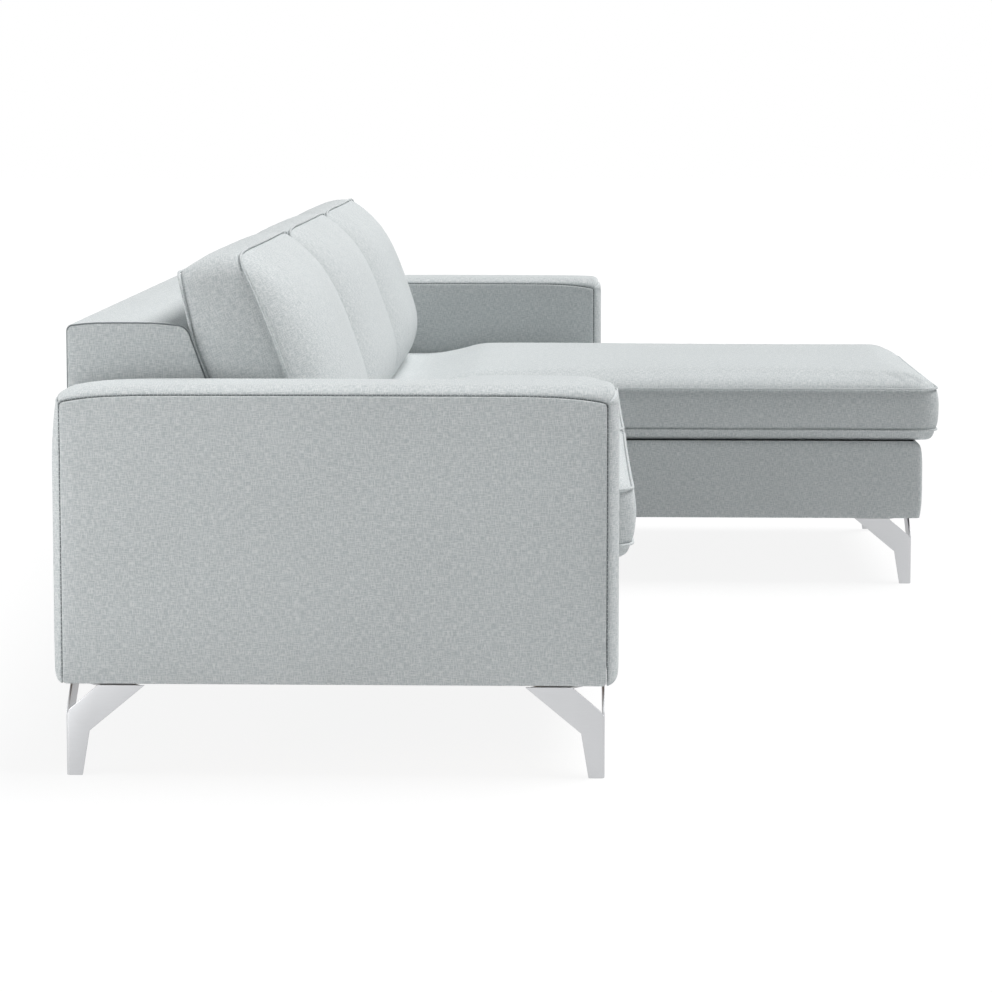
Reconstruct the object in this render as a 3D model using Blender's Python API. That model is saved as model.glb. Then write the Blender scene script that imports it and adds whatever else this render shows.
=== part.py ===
"""Corner sofa: a two-seat module with a left arm, joined to a chaise module with a right arm.

X runs along the back, -Y is the front and +Z is up. The origin is on the floor, at the middle of the
sofa's outer box. Sizes are in metres.
"""

import math
from typing import NamedTuple

import bmesh
import bpy
from mathutils import Vector

# Gap between faces that touch
CLEARANCE = 0.0003

# Plan of the sofa
SEAT_WIDTH = 0.82
ARM_WIDTH = 0.17
SOFA_BASE_LENGTH = 0.905
CHAISE_BASE_LENGTH = 1.626
SOFA_SEATS = ("left", "middle")

# Heights of the base
LEG_HEIGHT = 0.148
BASE_HEIGHT = 0.1737
DECK_PAD_THICKNESS = 0.0198
WEBBING_THICKNESS = 0.0015
DUST_COVER_THICKNESS = 0.001

# Timber
RAIL_THICKNESS = 0.025
RIB_THICKNESS = 0.018
TOP_RAIL_THICKNESS = 0.012
REAR_RAIL_SETBACK = 0.326

# Padded panels of the base and the back
BORDER_THICKNESS = 0.015
BORDER_CORNER = 0.012
BACK_HEIGHT = 0.717
BACK_LEAN = math.radians(19.6)
BACK_TOP_DEPTH = 0.2005
BACK_FRONT_PAD_THICKNESS = 0.05
BACK_REAR_PANEL_THICKNESS = 0.0157
BACK_TOP_PAD_THICKNESS = 0.0147
BACK_TOP_PAD_EDGE = 0.012
BACK_END_PANEL_THICKNESS = 0.006
BACK_END_PANEL_LAP = 0.019

# Webbing lattice
STRAP_WIDTH = 0.07
STRAP_GAP = 0.06

# Arms
ARM_REAR_INSET = 0.016
ARM_FRONT_OVERHANG = 0.008
ARM_SEAM_HEIGHT = 0.606
ARM_BOTTOM_GAP = 0.0025
ARM_FRONT_CROWN = 0.019
ARM_REAR_CROWN = 0.020
ARM_TOP_CROWN = 0.014
ARM_TOP_BOW = 0.012
ARM_BOTTOM_BOW = 0.002
ARM_PANEL_CROWN = 0.008
ARM_CORNER = 0.03
ARM_WALL = 0.014
ARM_BOARD_THICKNESS = 0.012
ARM_BATTEN_THICKNESS = 0.04
ARM_FRAME_BAYS = 3

# Seat and chaise cushions
CUSHION_OVERHANG = 0.034
CUSHION_SIDE_GAP = 0.001
CUSHION_REAR_GAP = 0.003
CUSHION_LOWER_EDGE = 0.024
CUSHION_BOXING = 0.092
CUSHION_CROWN = 0.038
CUSHION_BULGE = 0.008
CUSHION_PULL_IN = 0.002
CUSHION_CORNER = 0.045
CUSHION_CROWN_POWER = 3.0
CUSHION_UNDERSIDE_POWER = 14.0
CUSHION_UNDERSIDE_FLAT = 0.75
PRESSED_CROWN = 0.006
PRESSED_DEPTH = 0.12
PRESS_BLEND = 0.17

# Back cushions, measured along and square to the back's slope
BACK_CUSHION_LENGTH = 0.418
BACK_CUSHION_DROP = 0.045
BACK_CUSHION_FRONT_SEAM = 0.122
BACK_CUSHION_REAR_SEAM = 0.011
BACK_CUSHION_CROWN = 0.078
BACK_CUSHION_TOP_BULGE = 0.014
BACK_CUSHION_TOP_BOW = 0.009
BACK_CUSHION_SIDE_BULGE = 0.007
BACK_CUSHION_PULL_IN = 0.003
BACK_CUSHION_CORNER = 0.04
BACK_CUSHION_CROWN_POWER = 4.5
BACK_CUSHION_SHOULDER = 0.7
BACK_CUSHION_REAR_POWER = 8.0
BACK_CUSHION_REAR_FLAT = 0.85

# Bent steel corner legs
LEG_THICKNESS = 0.004
LEG_BEND_RADIUS = 0.006
LEG_FOOT_WIDTH = 0.026
LEG_KNEE_REACH = 0.038
LEG_KNEE_HEIGHT = 0.073
LEG_TOP_START = 0.052
LEG_TOP_REACH = 0.128
LEG_SHOULDER_DROP = 0.047
LEG_PLATE_MARGIN = 0.006
ARM_LEG_INSET = 0.006
CHAISE_LEG_FRONT_INSET = 0.024
CHAISE_LEG_LEFT_INSET = 0.002
CHAISE_LEG_RIGHT_INSET = 0.027

# Turned support legs and joining bolts
SUPPORT_TOP_RADIUS = 0.026
SUPPORT_FOOT_RADIUS = 0.019
SUPPORT_REAR_INSET = 0.09
SUPPORT_FRONT_INSET = 0.05
BOLT_RADIUS = 0.004
BOLT_HEAD_RADIUS = 0.011
BOLT_HEAD_THICKNESS = 0.005
BOLT_HOLE_CLEARANCE = 0.0005
BOLT_END_MARGIN = 0.09

# How finely the rounded forms are divided
CORNER_STEPS = 3
SIDE_STEPS = 6
FACE_RINGS = (0.97, 0.88, 0.72, 0.42)
BOXING_RINGS = (0.25, 0.5, 0.75)
TURNED_SIDES = 20
BEND_STEPS = 3
EDGE_FADE = 6.0
EDGE_REACH = 3.0

# Places that several pieces share
SOFA_WIDTH = len(SOFA_SEATS) * SEAT_WIDTH
HALF_LENGTH = (SOFA_WIDTH + SEAT_WIDTH) / 2 + ARM_WIDTH
INNER_LEFT = ARM_WIDTH - HALF_LENGTH
INNER_RIGHT = -INNER_LEFT
JOIN_X = INNER_LEFT + SOFA_WIDTH
REAR_REACH = ARM_REAR_CROWN - ARM_REAR_INSET
FRONT_REACH = CUSHION_OVERHANG - CUSHION_PULL_IN + CUSHION_BULGE
REAR_Y = (CHAISE_BASE_LENGTH + FRONT_REACH - REAR_REACH) / 2
SOFA_FRONT_Y = REAR_Y - SOFA_BASE_LENGTH
CHAISE_FRONT_Y = REAR_Y - CHAISE_BASE_LENGTH
PANEL_INNER_Y = REAR_Y - BACK_REAR_PANEL_THICKNESS - CLEARANCE
REAR_RAIL_Y = REAR_Y - REAR_RAIL_SETBACK

BASE_BOTTOM = LEG_HEIGHT + CLEARANCE
BASE_TOP = BASE_BOTTOM + BASE_HEIGHT
RAIL_BOTTOM = BASE_BOTTOM + DUST_COVER_THICKNESS + CLEARANCE
DECK_BOTTOM = BASE_TOP - DECK_PAD_THICKNESS
RAIL_TOP = DECK_BOTTOM - WEBBING_THICKNESS - 2 * CLEARANCE
CUSHION_BOTTOM = BASE_TOP + CLEARANCE
LOWER_SEAM = CUSHION_BOTTOM + CUSHION_LOWER_EDGE
UPPER_SEAM = LOWER_SEAM + CUSHION_BOXING
BACK_CUSHION_BOTTOM = UPPER_SEAM + PRESSED_CROWN + CLEARANCE
TOP_PAD_BOTTOM = BACK_HEIGHT - BACK_TOP_PAD_THICKNESS
TOP_RAIL_BOTTOM = TOP_PAD_BOTTOM - CLEARANCE - TOP_RAIL_THICKNESS
RIB_TOP = TOP_RAIL_BOTTOM - CLEARANCE

BOLT_HEIGHT = (RAIL_BOTTOM + RAIL_TOP) / 2


class Edges(NamedTuple):
    """One amount for each side of a padded form: low and high along its first and second axis."""

    low_u: float = 0.0
    high_u: float = 0.0
    low_v: float = 0.0
    high_v: float = 0.0


class Face(NamedTuple):
    """One of the two large faces of a padded form: where its seam lies and how it swells."""

    seam: float
    crown: float
    power: float
    limit: float
    shoulder: float = 1.0


class Module(NamedTuple):
    """One of the two modules: its parent, its name and the box that its base fills in plan."""

    parent: bpy.types.Object
    name: str
    left: float
    right: float
    front: float


def clear_scene():
    """Takes away every object, so that the sofa stands alone."""
    for old in list(bpy.data.objects):
        bpy.data.objects.remove(old, do_unlink=True)


def make_finish(name, colour, roughness, metallic=0.0):
    """A plain material of one colour, linear RGB."""
    finish = bpy.data.materials.new(name)
    finish.use_nodes = True
    shader = finish.node_tree.nodes["Principled BSDF"]
    shader.inputs["Base Color"].default_value = (*colour, 1.0)
    shader.inputs["Roughness"].default_value = roughness
    shader.inputs["Metallic"].default_value = metallic
    finish.diffuse_color = (*colour, 1.0)
    return finish


def back_face_y(height, inset=0.0):
    """Where the back's sloping front face, or a plane set into it, lies at a height."""
    top_front = REAR_Y - BACK_TOP_DEPTH
    return top_front + (height - BACK_HEIGHT) * math.tan(BACK_LEAN) + inset / math.cos(BACK_LEAN)


def add_piece(name, shape, finish, parent, location, rotation=(0.0, 0.0, 0.0)):
    """Turns a finished bmesh into a named object under its parent."""
    bmesh.ops.recalc_face_normals(shape, faces=shape.faces)
    mesh = bpy.data.meshes.new(name)
    shape.to_mesh(mesh)
    shape.free()
    mesh.materials.append(finish)
    piece = bpy.data.objects.new(name, mesh)
    piece.location = location
    piece.rotation_euler = rotation
    piece.parent = parent
    bpy.context.collection.objects.link(piece)
    return piece


def add_empty(name):
    """A parent for the pieces of one module."""
    empty = bpy.data.objects.new(name, None)
    bpy.context.collection.objects.link(empty)
    return empty


def box_shape(low, high):
    """A box around the origin, with its size and its centre."""
    size = [top - bottom for bottom, top in zip(low, high)]
    centre = [(top + bottom) / 2 for bottom, top in zip(low, high)]
    shape = bmesh.new()
    bmesh.ops.create_cube(shape, size=1.0)
    bmesh.ops.scale(shape, vec=size, verts=shape.verts)
    return shape, centre


def add_box(name, low, high, finish, parent):
    """A plain board or pad between two corners."""
    shape, centre = box_shape(low, high)
    return add_piece(name, shape, finish, parent, centre)


def round_edges(shape, edges, radius, segments=2):
    """Rounds the chosen edges."""
    bmesh.ops.bevel(
        shape, geom=edges, offset=radius, segments=segments, profile=0.5, affect="EDGES"
    )


def prism_shape(outline, axis, depth):
    """An outline extruded along X or Z, centred on its own plane."""
    shape = bmesh.new()
    if axis == "X":
        corners = [(-depth / 2, first, second) for first, second in outline]
        push = Vector((depth, 0.0, 0.0))
    else:
        corners = [(first, second, -depth / 2) for first, second in outline]
        push = Vector((0.0, 0.0, depth))
    face = shape.faces.new([shape.verts.new(corner) for corner in corners])
    pushed = bmesh.ops.extrude_face_region(shape, geom=[face])["geom"]
    moved = [part for part in pushed if isinstance(part, bmesh.types.BMVert)]
    bmesh.ops.translate(shape, vec=push, verts=moved)
    return shape


def turned_shape(profile):
    """A solid of revolution about Z from (radius, height) points, lowest first."""
    shape = bmesh.new()
    rings = []
    for radius, height in profile:
        ring = []
        for side in range(TURNED_SIDES):
            angle = 2 * math.pi * side / TURNED_SIDES
            ring.append(shape.verts.new((radius * math.cos(angle), radius * math.sin(angle), height)))
        rings.append(ring)
    for lower, upper in zip(rings, rings[1:]):
        for side in range(TURNED_SIDES):
            after = (side + 1) % TURNED_SIDES
            shape.faces.new((lower[side], lower[after], upper[after], upper[side]))
    shape.faces.new(rings[0])
    shape.faces.new(rings[-1])
    return shape


def shade_round(piece, angle=math.radians(40)):
    """Smooth shading with the true edges kept sharp."""
    piece.data.shade_smooth()
    piece.data.set_sharp_from_angle(angle=angle)


def cut_with(piece, cutter, name):
    """Takes a hidden cutter's volume out of a piece."""
    cutter.hide_render = True
    cutter.display_type = "WIRE"
    cut = piece.modifiers.new(name, "BOOLEAN")
    cut.operation = "DIFFERENCE"
    cut.solver = "EXACT"
    cut.object = cutter


def rounded_rectangle(half_u, half_v, radius):
    """Corner arcs joined by evenly divided sides, anticlockwise from the high_u side."""
    arcs = []
    for quarter, (sign_u, sign_v) in enumerate(((1, 1), (-1, 1), (-1, -1), (1, -1))):
        arc = []
        for step in range(CORNER_STEPS + 1):
            angle = (quarter + step / CORNER_STEPS) * math.pi / 2
            centre = Vector((sign_u * (half_u - radius), sign_v * (half_v - radius)))
            arc.append(centre + radius * Vector((math.cos(angle), math.sin(angle))))
        arcs.append(arc)
    outline = []
    for arc, following in zip(arcs, arcs[1:] + arcs[:1]):
        outline.extend(arc)
        for step in range(1, SIDE_STEPS):
            outline.append(arc[-1].lerp(following[0], step / SIDE_STEPS))
    return outline


def pushed_out(position, half, low, high, across, fade):
    """A coordinate moved outwards near its own side, less towards the corners."""
    outwards = high if position > 0 else -low
    near_side = (abs(position) / half) ** EDGE_REACH
    away_from_corner = 1 - min(1.0, abs(across)) ** fade
    return position + outwards * near_side * away_from_corner


def swell(face, u, v):
    """Height of a large face over its seam's plane, for a place from -1 to 1 each way."""
    across = 1 - min(1.0, abs(u)) ** face.power
    along = 1 - min(1.0, abs(v)) ** face.power
    height = face.seam + face.crown * (across * along) ** face.shoulder
    return min(height, face.limit) if face.crown > 0 else max(height, face.limit)


def padded_shape(half_u, half_v, radius, lower, upper, bow, bulge, press=None):
    """A closed padded form: two swelling faces joined by a boxing strip between two seams.

    bow moves the seams themselves and bulge the middle of the boxing. press gives the share of the
    upper crown that is left at a place along v.
    """
    outline = rounded_rectangle(half_u, half_v, radius)
    shape = bmesh.new()

    def place(point, scale, height, swelling):
        u = point.x * scale
        v = point.y * scale
        bowed_u = pushed_out(u, half_u, bow.low_u, bow.high_u, v / half_v, 2.0)
        bowed_v = pushed_out(v, half_v, bow.low_v, bow.high_v, u / half_u, 2.0)
        side_u = [amount * swelling for amount in (bulge.low_u, bulge.high_u)]
        side_v = [amount * swelling for amount in (bulge.low_v, bulge.high_v)]
        out_u = pushed_out(u, half_u, *side_u, v / half_v, EDGE_FADE) - u
        out_v = pushed_out(v, half_v, *side_v, u / half_u, EDGE_FADE) - v
        return shape.verts.new((bowed_u + out_u, bowed_v + out_v, height))

    def face_height(face, point, scale):
        height = swell(face, point.x * scale / half_u, point.y * scale / half_v)
        if press is None or face is not upper:
            return height
        return face.seam + (height - face.seam) * press(point.y * scale)

    rings = []
    for scale in reversed(FACE_RINGS):
        rings.append([place(p, scale, face_height(lower, p, scale), 0.0) for p in outline])
    rings.append([place(p, 1.0, lower.seam, 0.0) for p in outline])
    for share in BOXING_RINGS:
        height = lower.seam + (upper.seam - lower.seam) * share
        swelling = 1 - (2 * share - 1) ** 2
        rings.append([place(p, 1.0, height, swelling) for p in outline])
    rings.append([place(p, 1.0, upper.seam, 0.0) for p in outline])
    for scale in FACE_RINGS:
        rings.append([place(p, scale, face_height(upper, p, scale), 0.0) for p in outline])

    count = len(outline)
    for below, above in zip(rings, rings[1:]):
        for index in range(count):
            after = (index + 1) % count
            shape.faces.new((below[index], below[after], above[after], above[index]))
    middle = Vector((0.0, 0.0))
    for face, ring in ((lower, rings[0]), (upper, rings[-1])):
        centre = place(middle, 1.0, face_height(face, middle, 1.0), 0.0)
        for index in range(count):
            shape.faces.new((ring[index], ring[(index + 1) % count], centre))
    return shape


def lattice_shape(width, length, thickness):
    """Webbing straps both ways in one flat sheet, with square gaps between them."""
    pitch = STRAP_WIDTH + STRAP_GAP

    def stations(total):
        gaps = max(1, int((total - STRAP_WIDTH) / pitch))
        strap = (total - gaps * STRAP_GAP) / (gaps + 1)
        edges = [-total / 2]
        for _ in range(gaps):
            edges.append(edges[-1] + strap)
            edges.append(edges[-1] + STRAP_GAP)
        edges.append(total / 2)
        return edges

    across = stations(width)
    along = stations(length)
    shape = bmesh.new()
    corners = [[shape.verts.new((x, y, -thickness / 2)) for y in along] for x in across]
    faces = []
    for i in range(len(across) - 1):
        for j in range(len(along) - 1):
            if i % 2 and j % 2:
                continue
            cell = (corners[i][j], corners[i + 1][j], corners[i + 1][j + 1], corners[i][j + 1])
            faces.append(shape.faces.new(cell))
    pushed = bmesh.ops.extrude_face_region(shape, geom=faces)["geom"]
    moved = [part for part in pushed if isinstance(part, bmesh.types.BMVert)]
    bmesh.ops.translate(shape, vec=(0.0, 0.0, thickness), verts=moved)
    return shape


def add_rail(module, name, low, high, finish):
    """A timber rail of the base, as high as the base frame."""
    return add_box(
        f"{module.name}_{name}",
        (low[0], low[1], RAIL_BOTTOM),
        (high[0], high[1], RAIL_TOP),
        finish,
        module.parent,
    )


def add_base(module, finishes, side_border):
    """Rails, webbing, deck pad and dust cover of one module, and gives its two side rails."""
    timber = finishes["timber"]
    left = module.left + CLEARANCE + side_border
    right = module.right - CLEARANCE - side_border
    front = module.front + BORDER_THICKNESS + CLEARANCE
    rear = REAR_RAIL_Y
    behind_front = front + RAIL_THICKNESS + CLEARANCE
    before_rear = rear - RAIL_THICKNESS - CLEARANCE
    add_rail(module, "front_rail", (left, front), (right, front + RAIL_THICKNESS), timber)
    add_rail(module, "rear_rail", (left, rear - RAIL_THICKNESS), (right, rear), timber)
    left_rail = add_rail(
        module, "left_rail", (left, behind_front), (left + RAIL_THICKNESS, before_rear), timber
    )
    right_rail = add_rail(
        module, "right_rail", (right - RAIL_THICKNESS, behind_front), (right, before_rear), timber
    )

    webbing = lattice_shape(right - left, rear - front, WEBBING_THICKNESS)
    webbing_height = RAIL_TOP + CLEARANCE + WEBBING_THICKNESS / 2
    add_piece(
        f"{module.name}_webbing",
        webbing,
        finishes["webbing"],
        module.parent,
        ((left + right) / 2, (front + rear) / 2, webbing_height),
    )
    deck_rear = back_face_y(DECK_BOTTOM) - CUSHION_REAR_GAP
    add_box(
        f"{module.name}_deck_pad",
        (left, front, DECK_BOTTOM),
        (right, deck_rear, BASE_TOP),
        finishes["deck"],
        module.parent,
    )
    add_box(
        f"{module.name}_dust_cover",
        (left, front, BASE_BOTTOM),
        (right, PANEL_INNER_Y, BASE_BOTTOM + DUST_COVER_THICKNESS),
        finishes["dust_cover"],
        module.parent,
    )
    return left_rail, right_rail


def add_sofa_middle_rail(module, finishes):
    """The sofa's middle rail runs from front to rear, between its two seats."""
    middle = (module.left + module.right) / 2
    front = module.front + BORDER_THICKNESS + RAIL_THICKNESS + 2 * CLEARANCE
    add_rail(
        module,
        "middle_rail",
        (middle - RAIL_THICKNESS / 2, front),
        (middle + RAIL_THICKNESS / 2, REAR_RAIL_Y - RAIL_THICKNESS - CLEARANCE),
        finishes["timber"],
    )


def add_chaise_middle_rail(module, finishes, side_border):
    """The chaise's middle rail runs across, between its side rails."""
    side = side_border + RAIL_THICKNESS + 2 * CLEARANCE
    middle = (module.front + REAR_RAIL_Y) / 2
    add_rail(
        module,
        "middle_rail",
        (module.left + side, middle - RAIL_THICKNESS / 2),
        (module.right - side, middle + RAIL_THICKNESS / 2),
        finishes["timber"],
    )


def add_front_border(module, finishes, rounded):
    """The padded panel on the front of a base, with round upright corners where it stands free."""
    low = (module.left + CLEARANCE, module.front, BASE_BOTTOM)
    high = (module.right - CLEARANCE, module.front + BORDER_THICKNESS, BASE_TOP)
    shape, centre = box_shape(low, high)
    if rounded:
        upright = [
            edge
            for edge in shape.edges
            if all(vert.co.y < 0 for vert in edge.verts)
            and abs(edge.verts[0].co.x - edge.verts[1].co.x) < CLEARANCE
        ]
        round_edges(shape, upright, BORDER_CORNER)
    name = f"{module.name}_front_border"
    add_piece(name, shape, finishes["fabric"], module.parent, centre)


def add_side_borders(module, finishes):
    """The padded panels on both sides of the chaise base, and gives the left one."""
    front = module.front + BORDER_THICKNESS + CLEARANCE
    spans = {
        "left": (module.left + CLEARANCE, module.left + BORDER_THICKNESS),
        "right": (module.right - BORDER_THICKNESS, module.right - CLEARANCE),
    }
    borders = {}
    for side, (low_x, high_x) in spans.items():
        borders[side] = add_box(
            f"{module.name}_{side}_border",
            (low_x, front, BASE_BOTTOM),
            (high_x, PANEL_INNER_Y, BASE_TOP),
            finishes["fabric"],
            module.parent,
        )
    return borders["left"]


def add_back(module, finishes, rib_names, ends, side_border):
    """Ribs, top rail and padded panels of one module's back."""
    low_x = module.left + CLEARANCE
    high_x = module.right - CLEARANCE
    if "left" in ends:
        low_x += BACK_END_PANEL_THICKNESS + CLEARANCE
    if "right" in ends:
        high_x -= BACK_END_PANEL_THICKNESS + CLEARANCE
    inner = BACK_FRONT_PAD_THICKNESS + CLEARANCE
    rib_front = REAR_RAIL_Y + CLEARANCE
    rib_outline = (
        (rib_front, RAIL_BOTTOM),
        (PANEL_INNER_Y, RAIL_BOTTOM),
        (PANEL_INNER_Y, RIB_TOP),
        (back_face_y(RIB_TOP, inner), RIB_TOP),
        (back_face_y(BASE_TOP + CLEARANCE, inner), BASE_TOP + CLEARANCE),
        (rib_front, RAIL_TOP),
    )
    side = max(side_border + CLEARANCE, BACK_END_PANEL_THICKNESS + CLEARANCE)
    first = module.left + side + CLEARANCE + RIB_THICKNESS / 2
    last = module.right - side - CLEARANCE - RIB_THICKNESS / 2
    for index, rib_name in enumerate(rib_names):
        x = first + (last - first) * index / (len(rib_names) - 1)
        shape = prism_shape(rib_outline, "X", RIB_THICKNESS)
        name = f"{module.name}_back_rib_{rib_name}"
        add_piece(name, shape, finishes["timber"], module.parent, (x, 0.0, 0.0))

    add_box(
        f"{module.name}_back_top_rail",
        (low_x, back_face_y(TOP_RAIL_BOTTOM, inner), TOP_RAIL_BOTTOM),
        (high_x, PANEL_INNER_Y, TOP_PAD_BOTTOM - CLEARANCE),
        finishes["timber"],
        module.parent,
    )
    pad_bottom = BASE_TOP + CLEARANCE
    pad_top = TOP_PAD_BOTTOM - CLEARANCE
    pad_outline = (
        (back_face_y(pad_bottom), pad_bottom),
        (back_face_y(pad_bottom, BACK_FRONT_PAD_THICKNESS), pad_bottom),
        (back_face_y(TOP_RAIL_BOTTOM, BACK_FRONT_PAD_THICKNESS), TOP_RAIL_BOTTOM),
        (back_face_y(TOP_RAIL_BOTTOM, BACK_FRONT_PAD_THICKNESS), pad_top),
        (back_face_y(pad_top), pad_top),
    )
    middle = (low_x + high_x) / 2
    front_pad = prism_shape(pad_outline, "X", high_x - low_x)
    name = f"{module.name}_back_front_pad"
    add_piece(name, front_pad, finishes["fabric"], module.parent, (middle, 0.0, 0.0))
    add_box(
        f"{module.name}_back_rear_panel",
        (low_x, REAR_Y - BACK_REAR_PANEL_THICKNESS, BASE_BOTTOM),
        (high_x, REAR_Y, pad_top),
        finishes["fabric"],
        module.parent,
    )
    top_low = (low_x, back_face_y(BACK_HEIGHT), TOP_PAD_BOTTOM)
    shape, centre = box_shape(top_low, (high_x, REAR_Y, BACK_HEIGHT))
    long_top_edges = [
        edge
        for edge in shape.edges
        if all(vert.co.z > 0 for vert in edge.verts)
        and abs(edge.verts[0].co.y - edge.verts[1].co.y) < CLEARANCE
    ]
    round_edges(shape, long_top_edges, BACK_TOP_PAD_EDGE)
    add_piece(f"{module.name}_back_top_pad", shape, finishes["fabric"], module.parent, centre)
    for end in ends:
        add_back_end(module, end, finishes)


def add_back_end(module, end, finishes):
    """The padded panel that closes the end of a back above the arm."""
    bottom = ARM_SEAM_HEIGHT - BACK_END_PANEL_LAP
    outline = (
        (back_face_y(bottom), bottom),
        (REAR_Y, bottom),
        (REAR_Y, BACK_HEIGHT - BACK_TOP_PAD_EDGE),
        (REAR_Y - BACK_TOP_PAD_EDGE, BACK_HEIGHT),
        (back_face_y(BACK_HEIGHT) + BACK_TOP_PAD_EDGE, BACK_HEIGHT),
        (back_face_y(BACK_HEIGHT - BACK_TOP_PAD_EDGE), BACK_HEIGHT - BACK_TOP_PAD_EDGE),
    )
    offset = CLEARANCE + BACK_END_PANEL_THICKNESS / 2
    x = module.left + offset if end == "left" else module.right - offset
    shape = prism_shape(outline, "X", BACK_END_PANEL_THICKNESS)
    name = f"{module.name}_back_{end}_end"
    add_piece(name, shape, finishes["fabric"], module.parent, (x, 0.0, 0.0))


def add_arm(module, side, finishes):
    """A padded arm cover, open underneath, over a timber arm frame with open bays."""
    out = -1 if side == "left" else 1
    front = SOFA_FRONT_Y + ARM_FRONT_OVERHANG
    rear = REAR_Y - ARM_REAR_INSET
    bottom = BASE_BOTTOM + ARM_BOTTOM_GAP
    centre_x = out * (HALF_LENGTH - ARM_WIDTH / 2)
    half_length = (rear - front) / 2
    half_height = (ARM_SEAM_HEIGHT - bottom) / 2
    panel = ARM_WIDTH / 2 - ARM_PANEL_CROWN - CLEARANCE / 2
    lower = Face(-panel, -ARM_PANEL_CROWN, CUSHION_CROWN_POWER, -ARM_WIDTH)
    upper = Face(panel, ARM_PANEL_CROWN, CUSHION_CROWN_POWER, ARM_WIDTH)
    bow = Edges(high_v=ARM_TOP_BOW, low_v=ARM_BOTTOM_BOW)
    bulge = Edges(low_u=ARM_FRONT_CROWN, high_u=ARM_REAR_CROWN, high_v=ARM_TOP_CROWN)
    shape = padded_shape(half_length, half_height, ARM_CORNER, lower, upper, bow, bulge)
    centre = (centre_x, (front + rear) / 2, (bottom + ARM_SEAM_HEIGHT) / 2)
    quarter = math.radians(90)
    cover = add_piece(
        f"{side}_arm_cover", shape, finishes["fabric"], module.parent, centre, (quarter, 0.0, quarter)
    )
    shade_round(cover)

    half_width = ARM_WIDTH / 2 - ARM_PANEL_CROWN - ARM_WALL
    frame_front = front + ARM_WALL
    frame_rear = rear - ARM_WALL
    frame_top = ARM_SEAM_HEIGHT - ARM_WALL
    hollow_low = (centre_x - half_width, frame_front, 0.0)
    hollow_high = (centre_x + half_width, frame_rear, frame_top)
    hollow = add_box(f"{side}_arm_hollow", hollow_low, hollow_high, finishes["timber"], module.parent)
    cut_with(cover, hollow, "hollow")

    frame_low = (centre_x - half_width + CLEARANCE, frame_front + CLEARANCE, BASE_BOTTOM)
    frame_high = (centre_x + half_width - CLEARANCE, frame_rear - CLEARANCE, frame_top - CLEARANCE)
    frame = add_box(f"{side}_arm_frame", frame_low, frame_high, finishes["timber"], module.parent)
    bay = (frame_high[1] - frame_low[1] - ARM_BATTEN_THICKNESS) / ARM_FRAME_BAYS
    for index in range(ARM_FRAME_BAYS):
        bay_front = frame_low[1] + ARM_BATTEN_THICKNESS + index * bay
        bay_rear = bay_front + bay - ARM_BATTEN_THICKNESS
        inner_x, outer_x = sorted((frame_low[0], frame_high[0]), key=abs)
        open_x = inner_x - out * ARM_BOARD_THICKNESS
        board_x = outer_x - out * ARM_BOARD_THICKNESS
        recess = add_box(
            f"{side}_arm_bay_{index + 1}",
            (min(open_x, board_x), bay_front, frame_low[2] + ARM_BATTEN_THICKNESS),
            (max(open_x, board_x), bay_rear, frame_high[2] - ARM_BATTEN_THICKNESS),
            finishes["timber"],
            module.parent,
        )
        cut_with(frame, recess, f"bay {index + 1}")


def add_seat_cushion(module, name, left, right, front, finishes):
    """A boxed seat cushion on the deck, pressed down at the rear by the back cushion."""
    half_u = (right - left) / 2 - CUSHION_SIDE_GAP - CUSHION_BULGE
    rear = back_face_y(CUSHION_BOTTOM) - CUSHION_REAR_GAP - CUSHION_BULGE
    half_v = (rear - front) / 2
    lower_crown = -CUSHION_LOWER_EDGE / CUSHION_UNDERSIDE_FLAT
    lower = Face(LOWER_SEAM - CUSHION_BOTTOM, lower_crown, CUSHION_UNDERSIDE_POWER, 0.0)
    upper_seam = UPPER_SEAM - CUSHION_BOTTOM
    power = CUSHION_CROWN_POWER
    upper = Face(upper_seam, CUSHION_CROWN, power, upper_seam + CUSHION_CROWN)
    pull_in = -CUSHION_PULL_IN
    bow = Edges(pull_in, pull_in, pull_in, pull_in)
    bulge = Edges(CUSHION_BULGE, CUSHION_BULGE, CUSHION_BULGE, CUSHION_BULGE)
    pressed_from = half_v - PRESSED_DEPTH
    pressed_share = min(1.0, PRESSED_CROWN / CUSHION_CROWN)

    def press(v):
        way = min(1.0, max(0.0, (v - pressed_from + PRESS_BLEND) / PRESS_BLEND))
        smooth = way * way * (3 - 2 * way)
        return 1 - (1 - pressed_share) * smooth

    shape = padded_shape(half_u, half_v, CUSHION_CORNER, lower, upper, bow, bulge, press)
    centre = ((left + right) / 2, (front + rear) / 2, CUSHION_BOTTOM)
    shade_round(add_piece(name, shape, finishes["fabric"], module.parent, centre))


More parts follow.
